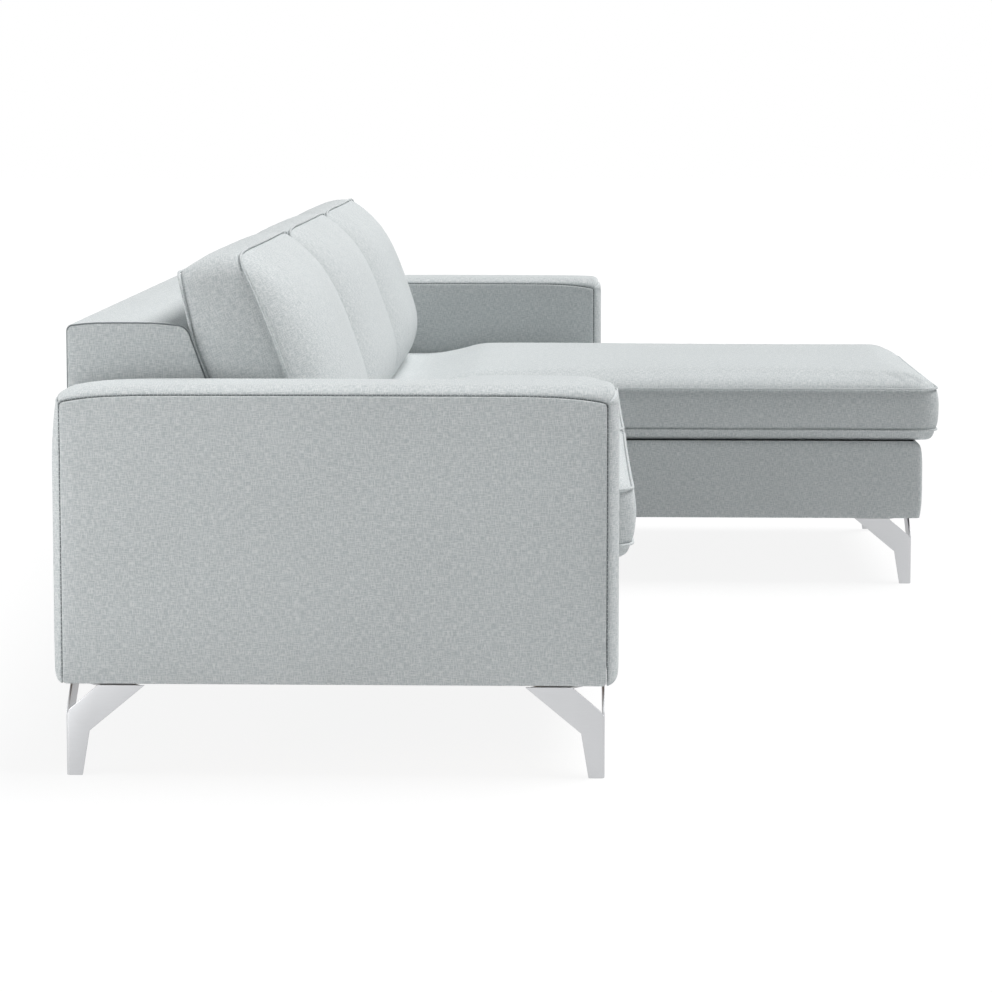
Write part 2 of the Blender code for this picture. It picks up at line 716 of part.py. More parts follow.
def add_back_cushion(module, name, left, right, finishes):
    """A plump back cushion that leans on the back and is flat where it stands on the seat."""
    half_u = (right - left) / 2 - CUSHION_SIDE_GAP - BACK_CUSHION_SIDE_BULGE
    half_v = BACK_CUSHION_LENGTH / 2
    rear_crown = -BACK_CUSHION_REAR_SEAM / BACK_CUSHION_REAR_FLAT
    lower = Face(BACK_CUSHION_REAR_SEAM, rear_crown, BACK_CUSHION_REAR_POWER, 0.0)
    front_limit = BACK_CUSHION_FRONT_SEAM + BACK_CUSHION_CROWN
    upper = Face(
        BACK_CUSHION_FRONT_SEAM,
        BACK_CUSHION_CROWN,
        BACK_CUSHION_CROWN_POWER,
        front_limit,
        BACK_CUSHION_SHOULDER,
    )
    pull_in = -BACK_CUSHION_PULL_IN
    side = BACK_CUSHION_SIDE_BULGE
    bow = Edges(pull_in, pull_in, 0.0, BACK_CUSHION_TOP_BOW)
    bulge = Edges(side, side, 0.0, BACK_CUSHION_TOP_BULGE)
    shape = padded_shape(half_u, half_v, BACK_CUSHION_CORNER, lower, upper, bow, bulge)

    # The origin lies on the back's face, at the height of the seat under the cushion
    raise_by = half_v - BACK_CUSHION_DROP
    bmesh.ops.translate(shape, vec=(0.0, raise_by, 0.0), verts=shape.verts)
    level = Vector((0.0, math.cos(BACK_LEAN), math.sin(BACK_LEAN)))
    everything = shape.verts[:] + shape.edges[:] + shape.faces[:]
    bmesh.ops.bisect_plane(
        shape, geom=everything, plane_co=(0.0, 0.0, 0.0), plane_no=level, clear_inner=True
    )
    rim = [edge for edge in shape.edges if edge.is_boundary]
    bmesh.ops.holes_fill(shape, edges=rim)
    y = back_face_y(BACK_CUSHION_BOTTOM, -CLEARANCE)
    centre = ((left + right) / 2, y, BACK_CUSHION_BOTTOM)
    lean = (math.radians(90) - BACK_LEAN, 0.0, 0.0)
    shade_round(add_piece(name, shape, finishes["fabric"], module.parent, centre, lean))


def leg_columns():
    """Distances from the corner along one leaf of a leg, with the leaf's lower and upper edge."""

    def upper_edge(distance):
        rise = min(1.0, distance / LEG_TOP_START)
        return LEG_HEIGHT - LEG_SHOULDER_DROP * (1 - rise)

    def lower_edge(distance):
        if distance <= LEG_FOOT_WIDTH:
            return 0.0
        if distance <= LEG_KNEE_REACH:
            step = (distance - LEG_FOOT_WIDTH) / (LEG_KNEE_REACH - LEG_FOOT_WIDTH)
            return LEG_KNEE_HEIGHT * step
        slope = (distance - LEG_KNEE_REACH) / (LEG_TOP_REACH - LEG_KNEE_REACH)
        return LEG_KNEE_HEIGHT + (LEG_HEIGHT - LEG_KNEE_HEIGHT) * slope

    marks = (LEG_BEND_RADIUS, LEG_FOOT_WIDTH, LEG_KNEE_REACH, LEG_TOP_START, LEG_TOP_REACH)
    return [(mark, lower_edge(mark), upper_edge(mark)) for mark in sorted(marks)]


def leg_shape(sign_x, sign_y):
    """Two boomerang leaves of one bent steel strip, with the outer corner at the origin."""
    columns = leg_columns()
    inner_radius = LEG_BEND_RADIUS - LEG_THICKNESS
    stations = []
    for distance, low, high in reversed(columns):
        stations.append(((distance, 0.0), (distance, LEG_THICKNESS), low, high))
    _, low, high = columns[0]
    for step in range(1, BEND_STEPS):
        angle = math.pi / 2 * step / BEND_STEPS
        direction = Vector((-math.sin(angle), -math.cos(angle)))
        centre = Vector((LEG_BEND_RADIUS, LEG_BEND_RADIUS))
        outer = centre + LEG_BEND_RADIUS * direction
        inner = centre + inner_radius * direction
        stations.append((tuple(outer), tuple(inner), low, high))
    for distance, low, high in columns:
        stations.append(((0.0, distance), (LEG_THICKNESS, distance), low, high))

    shape = bmesh.new()
    loops = []
    for outer, inner, low, high in stations:
        corners = ((outer, low), (inner, low), (inner, high), (outer, high))
        loop = [
            shape.verts.new((sign_x * plan[0], sign_y * plan[1], height))
            for plan, height in corners
        ]
        loops.append(loop)
    for before, after in zip(loops, loops[1:]):
        for index in range(len(before)):
            following = (index + 1) % len(before)
            shape.faces.new((before[index], before[following], after[following], after[index]))
    shape.faces.new(loops[0])
    shape.faces.new(loops[-1])
    bmesh.ops.remove_doubles(shape, verts=shape.verts, dist=CLEARANCE / 10)
    bmesh.ops.dissolve_degenerate(shape, edges=shape.edges, dist=CLEARANCE / 10)
    return shape


def add_corner_leg(name, x, y, sign_x, sign_y, finishes, parent):
    """A leg with its outer corner at a place, and its fixing plate welded between the leaves."""
    leg = add_piece(name, leg_shape(sign_x, sign_y), finishes["steel"], parent, (x, y, 0.0))
    near = LEG_THICKNESS / 2
    start = LEG_TOP_START + LEG_PLATE_MARGIN
    stop = LEG_TOP_REACH - LEG_PLATE_MARGIN
    outline = ((near, start), (near, stop), (stop, near), (start, near))
    placed = [(sign_x * first, sign_y * second) for first, second in outline]
    shape = prism_shape(placed, "Z", LEG_THICKNESS)
    height = LEG_HEIGHT - LEG_THICKNESS / 2
    plate = add_piece(f"{name}_plate", shape, finishes["steel"], parent, (x, y, height))
    plate.hide_render = True
    plate.display_type = "WIRE"
    weld = leg.modifiers.new("weld", "BOOLEAN")
    weld.operation = "UNION"
    weld.solver = "EXACT"
    weld.object = plate


def add_support_leg(name, x, y, finishes, parent):
    """A plain tapered leg under a place that isn't seen."""
    profile = ((SUPPORT_FOOT_RADIUS, 0.0), (SUPPORT_TOP_RADIUS, LEG_HEIGHT))
    leg = add_piece(name, turned_shape(profile), finishes["black_plastic"], parent, (x, y, 0.0))
    shade_round(leg)


def add_bolt(name, low_x, high_x, y, z, bored, finishes, parent):
    """A joining bolt along X with a round head and nut outside the bored pieces."""
    head = BOLT_HEAD_THICKNESS
    length = high_x - low_x + 2 * CLEARANCE
    profile = (
        (BOLT_HEAD_RADIUS, -head),
        (BOLT_HEAD_RADIUS, 0.0),
        (BOLT_RADIUS, 0.0),
        (BOLT_RADIUS, length),
        (BOLT_HEAD_RADIUS, length),
        (BOLT_HEAD_RADIUS, length + head),
    )
    along_x = (0.0, math.radians(90), 0.0)
    start = (low_x - CLEARANCE, y, z)
    bolt = add_piece(name, turned_shape(profile), finishes["zinc"], parent, start, along_x)
    shade_round(bolt)
    hole = BOLT_RADIUS + BOLT_HOLE_CLEARANCE
    cutter_profile = ((hole, -RAIL_THICKNESS), (hole, length + RAIL_THICKNESS))
    shape = turned_shape(cutter_profile)
    cutter = add_piece(f"{name}_hole", shape, finishes["zinc"], parent, start, along_x)
    for piece in bored:
        cut_with(piece, cutter, name)


def make_finishes():
    """The sofa's materials."""
    return {
        "fabric": make_finish("upholstery_fabric", (0.42, 0.45, 0.48), 0.9),
        "deck": make_finish("decking_cloth", (0.12, 0.13, 0.14), 0.95),
        "dust_cover": make_finish("dust_cover_cloth", (0.02, 0.02, 0.02), 0.95),
        "webbing": make_finish("elastic_webbing", (0.05, 0.05, 0.06), 0.9),
        "timber": make_finish("beech_timber", (0.50, 0.34, 0.19), 0.6),
        "steel": make_finish("brushed_steel", (0.50, 0.51, 0.52), 0.35, 1.0),
        "zinc": make_finish("zinc_plating", (0.55, 0.56, 0.58), 0.4, 1.0),
        "black_plastic": make_finish("black_plastic", (0.02, 0.02, 0.02), 0.5),
    }


def add_sofa_module(finishes):
    """The two-seat module with the left arm; gives the rail that the joining bolts go through."""
    parent = add_empty("sofa_module")
    sofa = Module(parent, "sofa", INNER_LEFT, JOIN_X, SOFA_FRONT_Y)
    _, right_rail = add_base(sofa, finishes, 0.0)
    add_sofa_middle_rail(sofa, finishes)
    add_front_border(sofa, finishes, rounded=False)
    add_back(sofa, finishes, ("left", "middle", "right"), ("left",), 0.0)
    add_arm(sofa, "left", finishes)
    for index, seat in enumerate(SOFA_SEATS):
        left = INNER_LEFT + index * SEAT_WIDTH
        front = SOFA_FRONT_Y - CUSHION_OVERHANG
        right = left + SEAT_WIDTH
        add_seat_cushion(sofa, f"{seat}_seat_cushion", left, right, front, finishes)
        add_back_cushion(sofa, f"{seat}_back_cushion", left, right, finishes)

    leg_x = ARM_LEG_INSET - HALF_LENGTH
    front_y = SOFA_FRONT_Y + ARM_FRONT_OVERHANG + ARM_LEG_INSET
    rear_y = REAR_Y - ARM_REAR_INSET - ARM_LEG_INSET
    add_corner_leg("left_arm_front_leg", leg_x, front_y, 1, 1, finishes, parent)
    add_corner_leg("left_arm_rear_leg", leg_x, rear_y, 1, -1, finishes, parent)
    support_x = JOIN_X - SUPPORT_TOP_RADIUS - CLEARANCE
    near_front = SOFA_FRONT_Y + SUPPORT_FRONT_INSET
    near_rear = REAR_Y - SUPPORT_REAR_INSET
    add_support_leg("sofa_front_support_leg", support_x, near_front, finishes, parent)
    add_support_leg("sofa_rear_support_leg", support_x, near_rear, finishes, parent)

    return right_rail


def add_chaise_module(finishes):
    """The chaise module with the right arm; gives the rail and border that the bolts go through."""
    parent = add_empty("chaise_module")
    chaise = Module(parent, "chaise", JOIN_X, INNER_RIGHT, CHAISE_FRONT_Y)
    left_rail, _ = add_base(chaise, finishes, BORDER_THICKNESS)
    add_chaise_middle_rail(chaise, finishes, BORDER_THICKNESS)
    add_front_border(chaise, finishes, rounded=True)
    left_border = add_side_borders(chaise, finishes)
    add_back(chaise, finishes, ("left", "right"), ("right",), BORDER_THICKNESS)
    add_arm(chaise, "right", finishes)
    front = CHAISE_FRONT_Y - CUSHION_OVERHANG
    add_seat_cushion(chaise, "chaise_seat_cushion", JOIN_X, INNER_RIGHT, front, finishes)
    add_back_cushion(chaise, "chaise_back_cushion", JOIN_X, INNER_RIGHT, finishes)

    front_y = CHAISE_FRONT_Y + CHAISE_LEG_FRONT_INSET
    left_x = JOIN_X + CHAISE_LEG_LEFT_INSET
    right_x = INNER_RIGHT - CHAISE_LEG_RIGHT_INSET
    add_corner_leg("chaise_front_left_leg", left_x, front_y, 1, 1, finishes, parent)
    add_corner_leg("chaise_front_right_leg", right_x, front_y, -1, 1, finishes, parent)
    leg_x = HALF_LENGTH - ARM_LEG_INSET
    rear_y = REAR_Y - ARM_REAR_INSET - ARM_LEG_INSET
    add_corner_leg("right_arm_rear_leg", leg_x, rear_y, -1, -1, finishes, parent)
    support_x = JOIN_X + BORDER_THICKNESS + SUPPORT_TOP_RADIUS + CLEARANCE
    support_y = REAR_Y - SUPPORT_REAR_INSET
    add_support_leg("chaise_rear_support_leg", support_x, support_y, finishes, parent)
    return left_rail, left_border


def main():
    """Builds both modules and bolts them together."""
    clear_scene()
    finishes = make_finishes()
    sofa_right_rail = add_sofa_module(finishes)
    chaise_left_rail, chaise_left_border = add_chaise_module(finishes)
    joining = add_empty("joining_hardware")
    low_x = JOIN_X - CLEARANCE - RAIL_THICKNESS
    high_x = JOIN_X + CLEARANCE + BORDER_THICKNESS + RAIL_THICKNESS
    places = {
        "front": SOFA_FRONT_Y + BOLT_END_MARGIN,
        "rear": REAR_RAIL_Y - BOLT_END_MARGIN,
    }
    bored = (sofa_right_rail, chaise_left_border, chaise_left_rail)
    for place, y in places.items():
        name = f"module_bolt_{place}"
        add_bolt(name, low_x, high_x, y, BOLT_HEIGHT, bored, finishes, joining)


main()
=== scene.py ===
"""Visual model of a corner sofa with a chaise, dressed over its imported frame.

Sizes are in metres, in the frame's own axes: X runs along the sofa, -Y is the
front and Z is up.
"""

import logging
import math
from contextlib import contextmanager
from dataclasses import dataclass
from enum import Enum
from typing import Callable, Iterator, Sequence

import bmesh
import bpy
import numpy as np
from mathutils import Matrix, Vector


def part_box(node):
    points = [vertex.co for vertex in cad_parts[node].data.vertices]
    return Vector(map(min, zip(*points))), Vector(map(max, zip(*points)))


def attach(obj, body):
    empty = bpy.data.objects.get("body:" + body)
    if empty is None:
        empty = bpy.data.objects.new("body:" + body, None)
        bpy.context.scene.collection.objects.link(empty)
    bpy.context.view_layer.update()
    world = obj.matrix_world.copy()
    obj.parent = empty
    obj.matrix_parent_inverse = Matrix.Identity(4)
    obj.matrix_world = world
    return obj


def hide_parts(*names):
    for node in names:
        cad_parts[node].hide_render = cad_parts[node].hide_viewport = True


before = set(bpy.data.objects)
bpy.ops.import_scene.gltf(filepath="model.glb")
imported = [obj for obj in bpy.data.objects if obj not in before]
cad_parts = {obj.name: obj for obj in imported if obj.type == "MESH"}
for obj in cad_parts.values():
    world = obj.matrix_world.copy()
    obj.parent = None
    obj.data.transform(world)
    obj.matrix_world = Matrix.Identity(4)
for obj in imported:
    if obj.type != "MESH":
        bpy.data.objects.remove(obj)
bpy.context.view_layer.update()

log = logging.getLogger("sofa")

WEAVE_MAP = "weave"
BODY_FRAME = "frame"
SLOPE_STEP = 0.002
BACK_LEAN = math.radians(19.6)


class Slot(Enum):
    """The record's material slots."""

    COVER = "cover_fabric"
    CUSHION = "cushion_fabric"
    DECK = "decking_cloth"
    WEBBING = "webbing"
    DUST_COVER = "dust_cover_cloth"
    STEEL = "leg_steel"
    PLASTIC = "support_plastic"


class Along(Enum):
    """An axis that edges or threads run along."""

    X = 0
    Y = 1
    Z = 2


# Shaders


class Wire:
    """A socket of a node tree that can be used in plain arithmetic."""

    def __init__(self, tree: bpy.types.NodeTree, socket: bpy.types.NodeSocket) -> None:
        """Wraps one output socket.

        Args:
            tree: The tree that holds the socket.
            socket: The output socket.
        """
        self.tree = tree
        self.socket = socket

    def math(self, operation: str, *others: "Wire | float", swap: bool = False) -> "Wire":
        """Adds a Math node on this value.

        Args:
            operation: The Math node's operation.
            others: Further operands.
            swap: Puts this value behind the first operand.

        Returns:
            The node's result.
        """
        node = self.tree.nodes.new("ShaderNodeMath")
        node.operation = operation
        operands: list[Wire | float] = [self, *others]
        if swap:
            operands.reverse()
        for place, value in enumerate(operands):
            plug(self.tree, node.inputs[place], value)
        return Wire(self.tree, node.outputs[0])

    def __add__(self, other: "Wire | float") -> "Wire":
        """Adds."""
        return self.math("ADD", other)

    __radd__ = __add__

    def __sub__(self, other: "Wire | float") -> "Wire":
        """Subtracts."""
        return self.math("SUBTRACT", other)

    def __rsub__(self, other: "Wire | float") -> "Wire":
        """Subtracts this from a number."""
        return self.math("SUBTRACT", other, swap=True)

    def __mul__(self, other: "Wire | float") -> "Wire":
        """Multiplies."""
        return self.math("MULTIPLY", other)

    __rmul__ = __mul__

    def __truediv__(self, other: "Wire | float") -> "Wire":
        """Divides."""
        return self.math("DIVIDE", other)

    def __rtruediv__(self, other: "Wire | float") -> "Wire":
        """Divides a number by this."""
        return self.math("DIVIDE", other, swap=True)

    def __pow__(self, other: "Wire | float") -> "Wire":
        """Raises to a power."""
        return self.math("POWER", other)

    def __abs__(self) -> "Wire":
        """Takes the size without the sign."""
        return self.math("ABSOLUTE")

    def sine(self) -> "Wire":
        """Takes the sine."""
        return self.math("SINE")

    def largest(self, other: "Wire | float") -> "Wire":
        """Takes the larger of two values."""
        return self.math("MAXIMUM", other)

    def between(self, low: float, high: float) -> "Wire":
        """Maps low to high onto 0 to 1, smoothly.

        Args:
            low: The value that gives 0.
            high: The value that gives 1.

        Returns:
            The mapped value.
        """
        node = self.tree.nodes.new("ShaderNodeMapRange")
        node.interpolation_type = "SMOOTHSTEP"
        plug(self.tree, node.inputs[0], self)
        plug(self.tree, node.inputs[1], low)
        plug(self.tree, node.inputs[2], high)
        return Wire(self.tree, node.outputs[0])


def plug(tree: bpy.types.NodeTree, socket: bpy.types.NodeSocket, value: object) -> None:
    """Links a wire to a socket, or sets its value.

    Args:
        tree: The tree that holds the socket.
        socket: The input socket.
        value: A wire, a number or a colour.
    """
    if isinstance(value, Wire):
        tree.links.new(value.socket, socket)
    else:
        socket.default_value = value


class Shader:
    """A material's node tree with its Principled node."""

    def __init__(self, name: str) -> None:
        """Makes an empty material.

        Args:
            name: The material's name.
        """
        self.material = bpy.data.materials.new(name)
        self.material.use_nodes = True
        self.tree = self.material.node_tree
        self.principled = self.tree.nodes["Principled BSDF"]

    def node(
        self,
        kind: str,
        settings: dict[str, object] | None = None,
        values: dict[str | int, object] | None = None,
        output: str | int = 0,
    ) -> Wire:
        """Adds any other node.

        Args:
            kind: The node's type.
            settings: Its settings, set first.
            values: Its sockets' values or wires.
            output: The output to return.

        Returns:
            The chosen output.
        """
        node = self.tree.nodes.new(kind)
        for key, value in (settings or {}).items():
            setattr(node, key, value)
        for key, value in (values or {}).items():
            plug(self.tree, node.inputs[key], value)
        return Wire(self.tree, node.outputs[output])

    def ramp(self, factor: Wire, stops: Sequence[tuple[float, tuple[float, ...]]]) -> Wire:
        """Adds a colour ramp.

        Args:
            factor: What it reads.
            stops: Places and colours, from low to high.

        Returns:
            The colour.
        """
        node = self.tree.nodes.new("ShaderNodeValToRGB")
        elements = node.color_ramp.elements
        while len(elements) < len(stops):
            elements.new(0.5)
        for element, (place, colour) in zip(elements, stops):
            element.position = place
            element.color = (*colour, 1.0)
        plug(self.tree, node.inputs[0], factor)
        return Wire(self.tree, node.outputs[0])

    def blend(self, factor: Wire, first: object, second: object) -> Wire:
        """Mixes two colours.

        Args:
            factor: 0 gives the first colour and 1 the second.
            first: A colour or wire.
            second: A colour or wire.

        Returns:
            The mixed colour.
        """
        node = self.tree.nodes.new("ShaderNodeMix")
        node.data_type = "RGBA"
        plug(self.tree, node.inputs[0], factor)
        plug(self.tree, node.inputs[6], first)
        plug(self.tree, node.inputs[7], second)
        return Wire(self.tree, node.outputs[2])

    def coordinates(self, scale: Sequence[float]) -> Wire:
        """Gives Object coordinates times a scale.

        Args:
            scale: The factor along each axis.

        Returns:
            The scaled vector.
        """
        place = self.node("ShaderNodeTexCoord", output="Object")
        return self.node("ShaderNodeMapping", values={"Vector": place, "Scale": tuple(scale)})

    def noise(self, vector: Wire, scale: float, detail: float = 2.0) -> Wire:
        """Adds a noise texture.

        Args:
            vector: Where it is read.
            scale: Its scale.
            detail: Its detail.

        Returns:
            The noise, about 0 to 1.
        """
        values = {"Vector": vector, "Scale": scale, "Detail": detail}
        return self.node("ShaderNodeTexNoise", values=values)

    def bump(self, height: Wire, distance: float, strength: float = 1.0) -> None:
        """Feeds a Bump node to the Normal socket.

        Args:
            height: The height, about 0 to 1.
            distance: The depth of a height of 1.
            strength: The bump's strength.
        """
        values = {"Height": height, "Distance": distance, "Strength": strength}
        self.set("Normal", self.node("ShaderNodeBump", values=values))

    def set(self, socket: str, value: object) -> None:
        """Sets or links one socket of the Principled node."""
        plug(self.tree, self.principled.inputs[socket], value)


def linear(red: int, green: int, blue: int) -> tuple[float, float, float, float]:
    """Turns a screen colour of 0 to 255 into the linear colour that a socket takes.

    Args:
        red: Red as seen on screen.
        green: Green as seen on screen.
        blue: Blue as seen on screen.

    Returns:
        The linear colour with an alpha of 1.
    """
    parts = [(c / 255.0 + 0.055) / 1.055 for c in (red, green, blue)]
    return (*[part**2.4 for part in parts], 1.0)


@dataclass(frozen=True)
class WovenFinish:
    """A plain-woven upholstery cloth with slubs in both directions."""

    name: str
    light: tuple[int, int, int] = (230, 232, 232)
    dark: tuple[int, int, int] = (195, 201, 202)
    thread: float = 0.00135
    slub: float = 0.011
    wander: float = 0.0016
    wander_rate: float = 55.0
    fading: float = 0.08
    depth: float = 0.0004
    roughness: float = 0.86
    sheen: float = 0.12

    def material(self) -> bpy.types.Material:
        """Builds the material.

        Returns:
            The finished material.
        """
        shader = Shader(self.name)
        surface = shader.node("ShaderNodeUVMap", {"uv_map": WEAVE_MAP})
        stray = shader.noise(surface, self.wander_rate, 1.0) - 0.5
        sideways = shader.node("ShaderNodeCombineXYZ", values={0: stray, 1: stray})
        scaled = {0: sideways, "Scale": self.wander}
        drift = shader.node("ShaderNodeVectorMath", {"operation": "SCALE"}, scaled)
        bent = shader.node("ShaderNodeVectorMath", {"operation": "ADD"}, {0: surface, 1: drift})
        fine, long = 1.0 / self.thread, 1.0 / self.slub
        warp, weft = (
            shader.noise(shader.node("ShaderNodeMapping", values={"Vector": bent, "Scale": scale}), 1.0, 1.5)
            for scale in ((fine, long, 1.0), (long, fine, 1.0))
        )
        parts = [shader.node("ShaderNodeSeparateXYZ", values={0: bent}, output=place) for place in (0, 1)]
        checks = (parts[0] * (math.pi * fine)).sine() * (parts[1] * (math.pi * fine)).sine()
        over = checks.between(-0.35, 0.35)
        tone = ((warp + weft) * 0.35 + warp.largest(weft) * 0.3).between(0.38, 0.66)
        cloud = shader.noise(shader.coordinates((1.0, 1.0, 1.0)), 5.0, 3.0)
        mixed = shader.blend(tone, linear(*self.dark), linear(*self.light))
        level = cloud * self.fading + (1.0 - self.fading / 2)
        faded = {"Value": level, "Color": mixed}
        shader.set("Base Color", shader.node("ShaderNodeHueSaturation", values=faded))
        shader.set("Roughness", self.roughness)
        shader.set("Sheen Weight", self.sheen)
        shader.set("Sheen Roughness", 0.5)
        shader.set("Specular IOR Level", 0.25)
        shader.bump(tone * 0.7 + over * 0.3, self.depth, 0.75)
        return shader.material


@dataclass(frozen=True)
class TimberFinish:
    """Planed softwood with its grain along X or Y."""

    name: str = "planed_timber"
    pale: tuple[int, int, int] = (214, 186, 146)
    deep: tuple[int, int, int] = (176, 140, 98)
    grain: Along = Along.X

    def material(self) -> bpy.types.Material:
        """Builds the material.

        Returns:
            The finished material.
        """
        shader = Shader(self.name)
        scale = [38.0, 38.0, 38.0]
        scale[self.grain.value] = 2.2
        grain = shader.noise(shader.coordinates(scale), 1.0, 5.0)
        rings = (grain * 34.0).sine() * 0.5 + 0.5
        pores = shader.noise(shader.coordinates([9 * s for s in scale]), 1.0, 2.0)
        tone = rings * 0.65 + pores * 0.35
        shader.set("Base Color", shader.blend(tone, linear(*self.deep), linear(*self.pale)))
        shader.set("Roughness", tone * 0.15 + 0.5)
        shader.bump(tone, 0.0003, 0.5)
        return shader.material


@dataclass(frozen=True)
class MetalFinish:
    """A metal surface with fine brushed lines and faint clouds of wear."""

    name: str
    colour: tuple[int, int, int]
    roughness: float
    lines: tuple[float, float, float]
    depth: float = 0.00002

    def material(self) -> bpy.types.Material:
        """Builds the material.

        Returns:
            The finished material.
        """
        shader = Shader(self.name)
        lines = shader.noise(shader.coordinates(self.lines), 1.0, 3.0)
        cloud = shader.noise(shader.coordinates((1.0, 1.0, 1.0)), 14.0, 3.0)
        bright = linear(*self.colour)
        dim = tuple(0.86 * c for c in bright[:3]) + (1.0,)
        shader.set("Base Color", shader.blend(lines * 0.5 + cloud * 0.5, dim, bright))
        shader.set("Metallic", 1.0)
        shader.set("Roughness", lines * 0.10 + cloud * 0.08 + (self.roughness - 0.09))
        shader.bump(lines, self.depth, 0.4)
        return shader.material


@dataclass(frozen=True)
class PlasticFinish:
    """Moulded plastic with a fine spark-eroded grain."""

    name: str
    colour: tuple[int, int, int]
    roughness: float = 0.5

    def material(self) -> bpy.types.Material:
        """Builds the material.

        Returns:
            The finished material.
        """
        shader = Shader(self.name)
        grain = shader.noise(shader.coordinates((1.0, 1.0, 1.0)), 900.0, 2.0)
        scuffs = shader.noise(shader.coordinates((1.0, 1.0, 4.0)), 30.0, 4.0).between(0.55, 0.75)
        base = linear(*self.colour)
        worn = tuple(min(1.0, 1.6 * c + 0.01) for c in base[:3]) + (1.0,)
        shader.set("Base Color", shader.blend(scuffs * 0.35, base, worn))
        shader.set("Roughness", grain * 0.12 + scuffs * 0.1 + (self.roughness - 0.08))
        shader.bump(grain, 0.00006, 0.5)
        return shader.material


@dataclass(frozen=True)
class TechnicalClothFinish:
    """A plain lining cloth: dust cover, decking cloth or webbing."""

    name: str
    colour: tuple[int, int, int]
    thread: float
    stripe: float = 0.0
    roughness: float = 0.9

    def material(self) -> bpy.types.Material:
        """Builds the material.

        Returns:
            The finished material.
        """
        shader = Shader(self.name)
        surface = shader.node("ShaderNodeUVMap", {"uv_map": WEAVE_MAP})
        parts = [shader.node("ShaderNodeSeparateXYZ", values={0: surface}, output=place) for place in (0, 1)]
        rate = math.tau / self.thread
        weave = (parts[0] * rate).sine() * (parts[1] * rate).sine() * 0.5 + 0.5
        fibres = shader.noise(shader.coordinates((1.0, 1.0, 1.0)), 260.0, 3.0)
        tone = weave * 0.5 + fibres * 0.5
        base = linear(*self.colour)
        if self.stripe:
            bands = (parts[1] * (math.tau / self.stripe)).sine().between(0.55, 0.8)
            tone = tone * (1.0 - bands * 0.45)
        dim = tuple(0.55 * c for c in base[:3]) + (1.0,)
        shader.set("Base Color", shader.blend(tone, dim, base))
        shader.set("Roughness", self.roughness)
        shader.bump(weave * 0.7 + fibres * 0.3, 0.0003, 0.6)
        return shader.material


@dataclass(frozen=True)
class Finishes:
    """Every material of the sofa, made once."""

    cover: bpy.types.Material
    cushion: bpy.types.Material
    # Dark thread for the stitches and seam lines; its dark colour is partly painted shade for the seam
    # grooves.
    thread: bpy.types.Material
    decking: bpy.types.Material
    webbing: bpy.types.Material
    dust_cover: bpy.types.Material
    timber_along: bpy.types.Material
    timber_across: bpy.types.Material
    timber_upright: bpy.types.Material
    steel: bpy.types.Material
    plastic: bpy.types.Material
    felt: bpy.types.Material
    zinc: bpy.types.Material

    @classmethod
    def make(cls) -> "Finishes":
        """Builds them all.

        Returns:
            The finishes.
        """
        return cls(
            cover=WovenFinish("cover_weave").material(),
            cushion=WovenFinish("cushion_weave").material(),
            # The thread's dark grey is partly the stitching's own colour and partly painted shade for the
            # seam grooves.
            thread=PlasticFinish("dark_thread_and_painted_seam_shade", (132, 138, 140), 0.6).material(),
            decking=TechnicalClothFinish("decking_cloth", (92, 95, 98), 0.0022).material(),
            webbing=TechnicalClothFinish("elastic_webbing", (206, 196, 176), 0.0016, 0.035).material(),
            dust_cover=TechnicalClothFinish("dust_cover_felt", (44, 45, 47), 0.0030).material(),
            timber_along=TimberFinish("timber_along", grain=Along.X).material(),
            timber_across=TimberFinish("timber_across", grain=Along.Y).material(),
            timber_upright=TimberFinish("timber_upright", grain=Along.Z).material(),
            steel=MetalFinish("satin_steel", (211, 212, 214), 0.5, (60.0, 60.0, 900.0)).material(),
            plastic=PlasticFinish("black_plastic", (38, 38, 40)).material(),
            felt=TechnicalClothFinish("felt_glide", (70, 68, 66), 0.0010).material(),
            zinc=MetalFinish("zinc_plate", (206, 208, 204), 0.3, (300.0, 300.0, 300.0)).material(),
        )


# Mesh helpers


def deselect() -> None:
    """Deselects every object."""
    for obj in bpy.context.selected_objects:
        obj.select_set(False)


def activate(obj: bpy.types.Object) -> None:
    """Selects one object alone and makes it active."""
    deselect()
    obj.select_set(True)
    bpy.context.view_layer.objects.active = obj


@contextmanager
def edit_mode(obj: bpy.types.Object) -> Iterator[None]:
    """Opens an object in edit mode and closes it again.

    Args:
        obj: The object to edit.

    Yields:
        Nothing.
    """
    activate(obj)
    bpy.ops.object.mode_set(mode="EDIT")
    yield
    bpy.ops.object.mode_set(mode="OBJECT")


def select_edges(obj: bpy.types.Object, wanted: Callable[[Vector, Vector], bool]) -> None:
    """Selects edges of the mesh being edited by their end points.

    Args:
        obj: The object in edit mode.
        wanted: Says whether an edge between two points is selected.
    """
    bpy.ops.mesh.select_all(action="DESELECT")
    bpy.ops.mesh.select_mode(type="EDGE")
    mesh = bmesh.from_edit_mesh(obj.data)
    for edge in mesh.edges:
        edge.select_set(wanted(edge.verts[0].co, edge.verts[1].co))
    mesh.select_flush_mode()
    bmesh.update_edit_mesh(obj.data)


def select_faces(obj: bpy.types.Object, wanted: Callable[[Vector, Vector], bool]) -> None:
    """Selects faces of the mesh being edited by centre and normal.

    Args:
        obj: The object in edit mode.
        wanted: Says whether a face with that centre and normal is selected.
    """
    bpy.ops.mesh.select_all(action="DESELECT")
    bpy.ops.mesh.select_mode(type="FACE")
    mesh = bmesh.from_edit_mesh(obj.data)
    mesh.normal_update()
    for face in mesh.faces:
        face.select_set(wanted(face.calc_center_median(), face.normal))
    mesh.select_flush_mode()
    bmesh.update_edit_mesh(obj.data)


